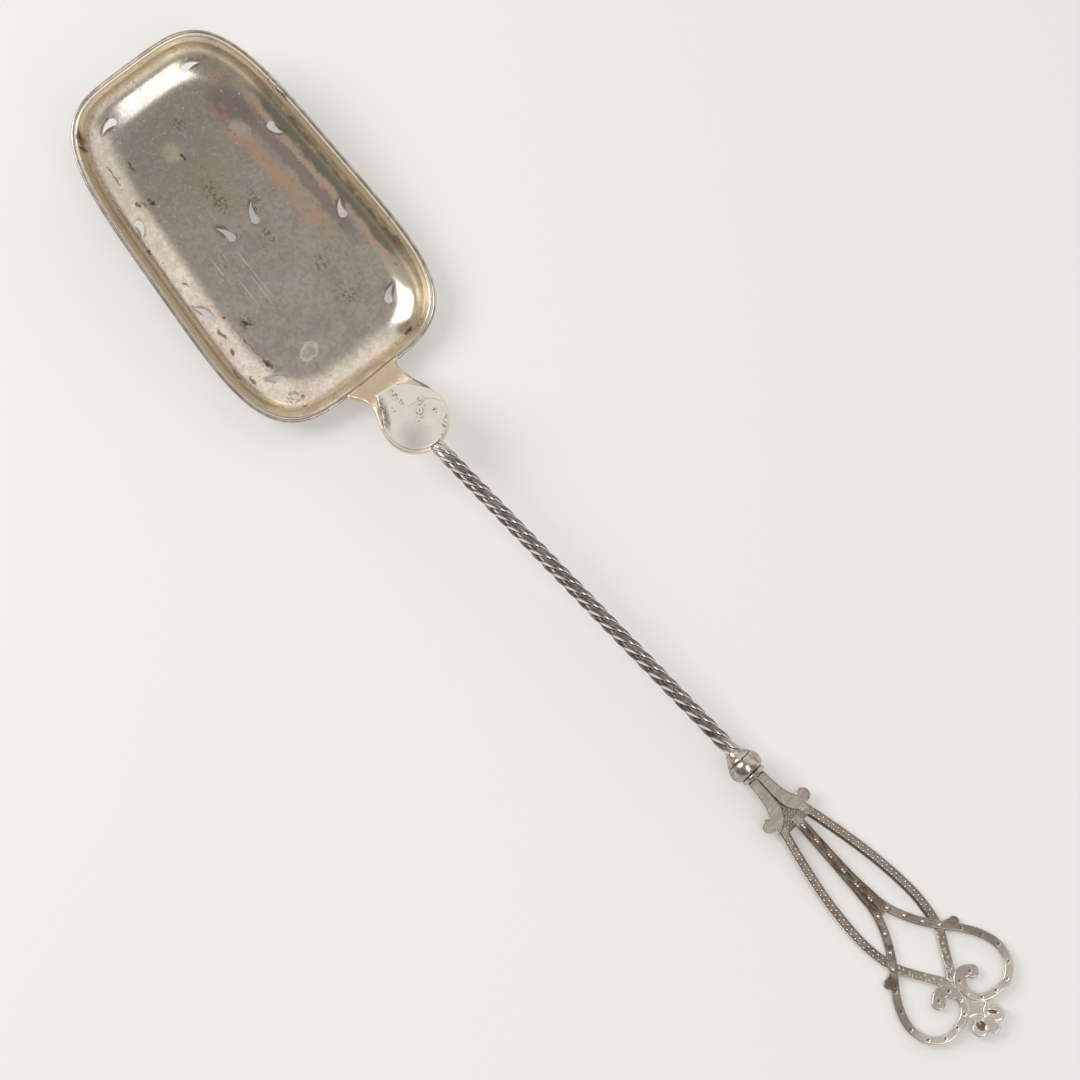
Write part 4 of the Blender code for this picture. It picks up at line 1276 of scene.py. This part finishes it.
def bowl_finish():
    g = Metal("bowl_finish")
    place = g.millimetres()
    ragged = g.warped(place, 0.7, 1.8)
    p, q, h = g.split(place)[:3]
    cloud = g.noise(place, 0.09, 5.0, 0.62)
    mottle = g.noise(place, 0.32, 5.0, 0.66)
    fine = g.noise(place, 0.9, 5.0, 0.65)

    colour = g.mix(g.step(cloud, 0.36, 0.64), WARM_SILVER, SILVER)
    far_end = g.times(g.step(p, 0.0, -26.0), g.step(p, -38.0, -32.0))
    colour = g.mix(far_end, colour, DULL_SILVER)
    colour = g.tint(colour, g.step(mottle, 0.48, 0.60), 0.6, DRAB)
    colour = g.tint(colour, g.step(fine, 0.48, 0.60), 0.5, DRAB)
    colour = g.tint(colour, g.step(fine, 0.50, 0.38), 0.4, PALE_SILVER)
    tinge = g.noise(g.warped(place, 0.2, 6.0), 0.12, 4.0, 0.6)
    colour = g.tint(colour, g.step(tinge, 0.52, 0.64), 0.35, PURPLE_TINGE)
    colour = g.tint(colour, g.step(tinge, 0.48, 0.36), 0.35, GREEN_TINGE)
    gilt = g.mix(g.step(mottle, 0.38, 0.62), DARK_GILDING, GILDING)
    raised = g.plus(h, g.times(g.larger(q, 0.0), 0.1))
    raised = g.plus(raised, g.times(g.math("SUBTRACT", cloud, 0.5), 2.0))
    # The gilt walls are painted paler on the +q side and at the far end, as painted reflections, and darker
    # on the -q side, as painted shade
    lit = g.larger(g.step(q, 16.0, 22.0), g.step(p, -36.0, -42.0))
    gilt = g.tint(gilt, lit, 0.9, PALE_GILDING)
    gilt = g.tint(gilt, g.step(q, -16.0, -22.0), 0.8, DARK_GILDING)
    colour = g.tint(colour, g.step(raised, 2.9, 4.9), 0.92, gilt)
    colour = bowl_streaks(g, colour, place, ragged, p, q)
    colour = g.mix(g.patch(ragged, *GREEN_MARK, 0.6), colour, GREEN)

    dust = g.step(g.noise(place, 1.1, 2.0, 0.5), 0.66, 0.74)
    dust = g.times(dust, g.step(p, 8.0, -20.0))
    drop = g.patch(ragged, *DRIED_DROP, 0.25)
    inside = g.patch(ragged, *INSIDE_DROP, 0.5)
    drop = g.math("SUBTRACT", drop, g.times(inside, 0.75), True)
    scratch = g.step(g.noise(g.scale(place, (0.06, 2.6, 1.0)), 1.1, 2.0, 0.5), 0.63, 0.70)
    scratch = g.times(scratch, g.patch(place, *SCRATCHED, 0.6))
    haze = g.larger(g.larger(dust, scratch), g.times(drop, 0.7))
    colour = g.tint(colour, haze, 0.3, PALE_SILVER)

    stain = g.step(g.noise(place, 0.55, 5.0, 0.7), 0.60, 0.70)
    colour = g.tint(colour, stain, 0.35, BROWN)
    on_wall = g.step(g.noise(g.scale(place, (0.4, 1.0, 0.8)), 0.6, 3.0, 0.6), 0.60, 0.66)
    on_wall = g.times(on_wall, g.step(h, 2.6, 4.2))
    colour = g.tint(colour, on_wall, 0.25, BROWN)
    grains = g.step(g.noise(place, 1.3, 2.0, 0.5), 0.52, 0.58)
    specks = g.times(g.step(g.noise(place, 1.0, 2.0, 0.5), 0.69, 0.73), 0.5)
    for centre, size in SPECK_PATCHES:
        cluster = g.times(g.patch(ragged, centre, size, 0.0, 0.6), grains)
        specks = g.larger(specks, g.times(cluster, 0.6))
    colour = g.mix(specks, colour, BROWN)
    pits = 0.0
    for centre, size, turn in DARK_PITS:
        pits = g.larger(pits, g.patch(ragged, centre, size, turn, 0.6))
    colour = g.tint(colour, pits, 0.85, DARK_BROWN)
    # A browner ring round each comma hole
    for head, tail, bow, axis in COMMAS:
        for side in (1, -1):
            ends = [Vector((end[0], end[1] * side + axis)) for end in (head, tail)]
            reach = ends[1] - ends[0]
            size = (reach.length / 2 + COMMA_HEAD_RADIUS + COMMA_RING_REACH, COMMA_HEAD_RADIUS + COMMA_RING_REACH)
            middle = (ends[0] + ends[1]) / 2 - reach.normalized() * COMMA_HEAD_RADIUS / 2
            middle += Vector((-reach.y, reach.x)).normalized() * COMMA_BOW * 0.35 * bow * side
            ring = g.patch(ragged, tuple(middle), size, math.atan2(reach.y, reach.x), 0.35)
            colour = g.tint(colour, ring, 0.55, BROWN)

    rough = g.plus(0.09, g.times(fine, 0.14))
    rough = g.plus(rough, g.times(haze, 0.2))
    shares = g.scale(place, (1 / BOWL_HALF_LENGTH, 1 / BOWL_HALF_WIDTH, 1.0))
    out_p, out_q = g.split(shares)[:2]
    worn = g.larger(g.math("ABSOLUTE", out_p), g.math("ABSOLUTE", out_q))
    rough = g.plus(rough, g.times(g.step(worn, 0.7, 0.9), EDGE_ROUGHNESS))
    rough = g.plus(rough, g.times(g.step(h, 3.0, 5.0), WALL_ROUGHNESS))
    along = g.noise(g.scale(place, (0.05, 2.4, 1.0)), 1.5, 4.0, 0.6)
    turned = g.add("ShaderNodeMapping", {"Vector": place, "Rotation": (0.0, 0.0, 0.8)}).outputs[0]
    across = g.noise(g.scale(turned, (0.05, 2.0, 1.0)), 1.5, 4.0, 0.6)
    marks = g.plus(g.times(along, 0.5), g.times(across, 0.4))
    return g.coat(colour, rough, g.bump(marks, FINE_MARKS))


def rim_finish():
    g = Metal("rim_finish")
    place = g.millimetres()
    cloud = g.noise(place, 0.4, 4.0, 0.6)
    colour = g.mix(g.step(cloud, 0.35, 0.65), RIM_DARK, RIM_LIGHT)
    return g.coat(colour, g.plus(0.16, g.times(cloud, 0.16)))


def wire_finish():
    g = Metal("wire_finish")
    place = g.millimetres()
    cloud = g.noise(place, 0.5, 4.0, 0.6)
    colour = g.mix(g.step(cloud, 0.38, 0.64), WIRE_DARK, WIRE_LIGHT)
    # Pale where the stem's layer says so: solder near both ends, and painted highlights on the lamp-facing
    # flank of each strand and in a band towards -y
    colour = g.tint(colour, g.layer("bright"), 0.95, PALE_SILVER)
    fine = g.noise(place, 1.5, 4.0, 0.6)
    rough = g.plus(0.14, g.times(fine, 0.14))
    return g.coat(colour, rough, g.bump(fine, FINE_MARKS))


def neck_finish():
    g = Metal("neck_finish")
    place = g.millimetres()
    depth = g.layer("cavity")
    cloud = g.noise(place, 0.35, 4.0, 0.6)
    colour = g.mix(g.step(cloud, 0.3, 0.7), NECK_GILDING, NECK_WORN)
    seam = g.plus(depth, g.times(cloud, 0.3))
    seam = g.times(g.step(seam, 0.45, 0.95), 0.85)
    specks = g.times(g.step(g.noise(place, 1.6, 3.0, 0.6), 0.66, 0.70), 0.7)
    edge = g.patch(g.warped(place, 0.8, 0.5), *NECK_DARK_EDGE, 0.5)
    dark = g.larger(g.larger(seam, specks), g.times(edge, 0.85))
    colour = g.mix(dark, colour, BROWN)
    fine = g.noise(place, 2.0, 4.0, 0.6)
    rough = g.plus(0.24, g.times(fine, 0.18))
    return g.coat(colour, rough, g.bump(fine, FINE_MARKS))


def pad_finish():
    g = Metal("pad_finish")
    place = g.millimetres()
    depth = g.layer("cavity")
    cloud = g.noise(place, 0.3, 4.0, 0.6)
    colour = g.mix(g.step(cloud, 0.3, 0.7), PAD_SILVER, PALE_SILVER)
    greyed = g.patch(g.warped(place, 0.3, 3.0), *PAD_GREYED, 0.9)
    colour = g.tint(colour, greyed, 0.9, PAD_GREY)
    grains = g.step(g.noise(place, 1.9, 2.0, 0.5), 0.51, 0.58)
    for centre, size, turn in PAD_SPECKS:
        specks = g.times(g.patch(place, centre, size, turn, 0.7), grains)
        colour = g.tint(colour, specks, 0.75, DARK_BROWN)
    worn = g.patch(g.warped(place, 1.6, 1.2), *PAD_WORN, 0.6)
    worn = g.times(worn, g.plus(0.5, g.times(grains, 0.4)))
    colour = g.mix(worn, colour, DARK_BROWN)
    scribed = g.step(g.layer("from_line"), 0.17, 0.06)
    colour = g.tint(colour, scribed, 0.55, SLATE)
    fine = g.noise(place, 2.2, 5.0, 0.65)
    rough = g.plus(0.34, g.times(fine, 0.16))
    rough = g.math("SUBTRACT", rough, g.times(g.step(depth, 0.02, 0.12), 0.24))
    return g.coat(colour, rough, g.bump(fine, FINE_MARKS))


def knop_finish():
    g = Metal("knop_finish")
    place = g.millimetres()
    depth = g.layer("cavity")
    cloud = g.noise(place, 0.6, 4.0, 0.6)
    colour = g.mix(g.step(cloud, 0.36, 0.62), KNOP_DARK, KNOP_LIGHT)
    colour = g.tint(colour, g.step(depth, 0.5, 1.0), 0.6, BROWN)
    fine = g.noise(place, 1.6, 4.0, 0.6)
    rough = g.plus(0.12, g.times(fine, 0.14))
    return g.coat(colour, rough, g.bump(fine, KNOP_MARKS))


def strap_beads(g):
    """Two rows of small beads along the straps, and the ground close round them."""
    along = g.math("PINGPONG", g.layer("strap_along"), BEAD_PITCH / 2)
    across = g.layer("strap_across")
    gaps = []
    for offset, row in ((along, BEAD_ROW), (g.math("SUBTRACT", BEAD_PITCH / 2, along), -BEAD_ROW)):
        aside = g.math("SUBTRACT", across, row)
        square = g.plus(g.times(offset, offset), g.times(aside, aside))
        gaps.append(g.math("SQRT", square))
    gap = g.math("MINIMUM", *gaps)
    beads = g.step(gap, BEAD_RADIUS, BEAD_RADIUS * 0.4)
    rings = g.math("SUBTRACT", g.step(gap, BEAD_RADIUS * 2.2, BEAD_RADIUS * 1.4), beads, True)
    return beads, rings


def plate_finish():
    g = Metal("plate_finish")
    place = g.millimetres()
    x, y, _ = g.split(place)[:3]
    away = g.math("ABSOLUTE", y)
    depth = g.layer("cavity")
    cloud = g.noise(place, 0.28, 4.0, 0.6)
    mottle = g.noise(place, 0.6, 5.0, 0.68)

    def within(value, low, high, soft):
        rise = g.step(value, low - soft, low + soft)
        return g.times(rise, g.step(value, high + soft, high - soft))

    colour = g.mix(g.step(cloud, 0.38, 0.62), PLATE_DARK, PLATE_LIGHT)
    bright = g.step(x, 124.0, 144.0)
    colour = g.tint(colour, bright, 0.95, PLATE_BRIGHT)
    on_leaf = g.step(x, 84.4, 83.4)
    colour = g.mix(on_leaf, colour, LEAF_GREY)
    hatch = g.step(g.noise(g.scale(place, (1.0, 0.12, 1.0)), 1.3, 2.0, 0.5), 0.42, 0.62)
    colour = g.tint(colour, g.times(hatch, on_leaf), 0.4, HATCH_GREY)
    shade = g.times(within(x, 126.5, 133.5, 2.0), g.step(away, 9.3, 11.0))
    colour = g.tint(colour, shade, 0.75, LOOP_SHADE)
    spine = g.times(within(x, 86.0, 111.0, 1.5), g.step(away, 2.2, 1.6))
    lower = g.times(within(x, 86.0, 121.0, 2.0), g.step(y, -0.6, -2.2))
    brown = g.larger(spine, g.times(lower, g.step(mottle, 0.44, 0.60)))
    brown = g.larger(brown, g.patch(place, *SIDE_KNOB_STAIN, 0.5))
    colour = g.tint(colour, brown, 0.8, SPINE_BROWN)
    dashes = g.step(g.noise(g.scale(place, (0.3, 1.5, 1.0)), 0.9, 3.0, 0.6), 0.53, 0.60)
    colour = g.tint(colour, g.times(dashes, spine), 0.8, BLACK)
    stain = g.step(g.noise(place, 0.5, 5.0, 0.7), 0.55, 0.70)
    stain = g.times(stain, g.math("SUBTRACT", 1.0, g.larger(on_leaf, bright), True))
    colour = g.tint(colour, stain, 0.5, BROWN)
    ragged = g.plus(depth, g.times(g.math("SUBTRACT", cloud, 0.5), 0.3))
    colour = g.tint(colour, g.step(ragged, 0.25, 0.95), 0.88, BROWN)
    colour = g.tint(colour, g.step(depth, 0.8, 1.0), 0.6, BLACK)
    # Below zero the cavity layer paints the metal pale: polished sides and bevels, rubbed edges, and painted
    # highlights on domes, pit rims and edges
    colour = g.tint(colour, g.step(depth, -0.05, -0.5), 0.8, PALE_SILVER)
    beads, rings = strap_beads(g)
    before = g.step(x, CROSSING_X - 1.0, CROSSING_X - 1.6)
    cells = g.add("ShaderNodeTexVoronoi", {"Vector": place, "Scale": 1.25}).outputs["Distance"]
    on_strap = g.step(g.math("ABSOLUTE", g.layer("strap_across")), 1.0, 0.7)
    grains = g.times(g.step(cells, 0.46, 0.22), g.math("SUBTRACT", 1.0, before))
    grains = g.times(grains, on_strap)
    beads = g.larger(g.times(beads, before), g.times(grains, 0.6))
    colour = g.tint(colour, g.times(rings, before), 0.6, BROWN)
    # Beads and stipple grains are painted pale: painted highlights on the small domes
    share = g.times(beads, g.step(mottle, 0.30, 0.48))
    colour = g.tint(colour, share, 0.85, PALE_SILVER)
    fine = g.noise(place, 0.4, 2.0, 0.5)
    rough = g.plus(0.17, g.times(fine, 0.2))
    relief = g.plus(g.times(fine, 0.15), g.times(beads, 0.7))
    relief = g.plus(relief, g.times(g.times(hatch, on_leaf), 0.05))
    return g.coat(colour, rough, g.bump(relief, PLATE_MARKS))


# Stage
FLOOR_SIZE = 4.0
FLOOR_COLOUR = (0.845, 0.828, 0.812, 1.0)
FLOOR_GLOW = 0.32
FLOOR_ROUGHNESS = 0.9
FLOOR_GAP = 0.00005
ROOM = (0.36, 0.345, 0.325, 1.0)
BRIGHT_WALL = (0.96, 0.92, 0.87, 1.0)
BRIGHT_AZIMUTH = 65.0
BRIGHT_FROM = 0.16
BRIGHT_TO = 0.46
HORIZON = (0.78, 0.765, 0.745, 1.0)
HORIZON_FROM = 0.34
HORIZON_TO = 0.04
LEFT_LIGHT = {"azimuth": 164.0, "elevation": 45.0, "distance": 1.0, "size": (0.5, 0.6), "power": 5.1}
RIGHT_LIGHT = {"azimuth": -50.0, "elevation": 57.0, "distance": 0.95, "size": (0.31, 0.93), "power": 1.8}


def image_axes():
    """The picture's right and its away direction, on the table."""
    right = Vector((math.cos(CAMERA_AZIMUTH), math.sin(CAMERA_AZIMUTH), 0.0))
    away = Vector((-math.sin(CAMERA_AZIMUTH), math.cos(CAMERA_AZIMUTH), 0.0))
    return right, away


def add_camera():
    _, away = image_axes()
    look = away * math.cos(CAMERA_ELEVATION) - Vector((0.0, 0.0, math.sin(CAMERA_ELEVATION)))
    camera = bpy.data.cameras.new("camera")
    camera.lens = CAMERA_LENS
    camera.sensor_width = SENSOR_WIDTH
    camera.clip_start = CAMERA_CLIP
    obj = bpy.data.objects.new("camera", camera)
    obj.location = (Vector(CAMERA_TARGET) + SHIFT - look * CAMERA_DISTANCE) * MM
    obj.rotation_euler = look.to_track_quat("-Z", "Y").to_euler()
    bpy.context.scene.collection.objects.link(obj)
    bpy.context.scene.camera = obj


def add_light(name, azimuth, elevation, distance, size, power):
    """A softbox; azimuth is counted from the picture's right towards its far side."""
    right, away = image_axes()
    turn = math.radians(azimuth)
    rise = math.radians(elevation)
    towards = (right * math.cos(turn) + away * math.sin(turn)) * math.cos(rise)
    towards += Vector((0.0, 0.0, math.sin(rise)))
    lamp = bpy.data.lights.new(name, "AREA")
    lamp.shape = "RECTANGLE"
    lamp.size, lamp.size_y = size
    lamp.energy = power
    obj = bpy.data.objects.new(name, lamp)
    obj.location = towards * distance
    obj.rotation_euler = (-towards).to_track_quat("-Z", "Y").to_euler()
    bpy.context.scene.collection.objects.link(obj)


def add_world():
    """A studio with one bright wall on the picture's far side; the rest of the room is dimmer."""
    world = bpy.data.worlds.new("studio")
    world.use_nodes = True
    g = Graph(world.node_tree)
    direction = g.add("ShaderNodeTexCoord", {}).outputs["Generated"]
    right, away = image_axes()
    turn = math.radians(BRIGHT_AZIMUTH)
    wall = right * math.cos(turn) + away * math.sin(turn)
    height = g.split(direction)[2]
    inputs = {0: direction, 1: tuple(wall)}
    far = g.add("ShaderNodeVectorMath", inputs, operation="DOT_PRODUCT").outputs["Value"]
    colour = g.mix(g.step(far, BRIGHT_FROM, BRIGHT_TO), ROOM, BRIGHT_WALL)
    colour = g.mix(g.step(height, HORIZON_FROM, HORIZON_TO), colour, HORIZON)
    background = world.node_tree.nodes["Background"]
    g.put(background.inputs["Color"], colour)
    background.inputs["Strength"].default_value = 1.0
    bpy.context.scene.world = world


def add_floor():
    """White paper; part of its brightness is its own, as on a lit table."""
    half = FLOOR_SIZE / 2 / MM
    points = [(-half, -half, 0.0), (half, -half, 0.0), (half, half, 0.0), (-half, half, 0.0)]
    floor = new_object("floor", points, [[0, 1, 2, 3]], Matrix.Translation((0.0, 0.0, -FLOOR_GAP)))
    mat = bpy.data.materials.new("paper")
    mat.use_nodes = True
    g = Graph(mat.node_tree)
    shader = mat.node_tree.nodes["Principled BSDF"]
    shader.inputs["Base Color"].default_value = FLOOR_COLOUR
    shader.inputs["Roughness"].default_value = FLOOR_ROUGHNESS
    shader.inputs["Specular IOR Level"].default_value = 0.0
    glow = g.add("ShaderNodeEmission", {"Color": FLOOR_COLOUR, "Strength": 1.0}).outputs[0]
    rays = g.add("ShaderNodeLightPath", {}).outputs
    seen = g.larger(rays["Is Camera Ray"], rays["Is Glossy Ray"])
    seen = g.larger(seen, rays["Is Transmission Ray"])
    share = g.times(seen, FLOOR_GLOW)
    both = g.add("ShaderNodeMixShader", {0: share, 1: shader.outputs[0], 2: glow}).outputs[0]
    g.put(mat.node_tree.nodes["Material Output"].inputs["Surface"], both)
    floor.data.materials.append(mat)


bpy.context.scene.view_settings.view_transform = "Standard"
add_camera()
add_world()
add_light("left_softbox", **LEFT_LIGHT)
add_light("right_softbox", **RIGHT_LIGHT)
add_floor()
build_bowl(bowl_finish())
build_rim_wire(rim_finish())
build_neck(neck_finish())
build_pad(pad_finish())
build_stem(wire_finish())
build_knop(knop_finish())
build_plate(plate_finish())
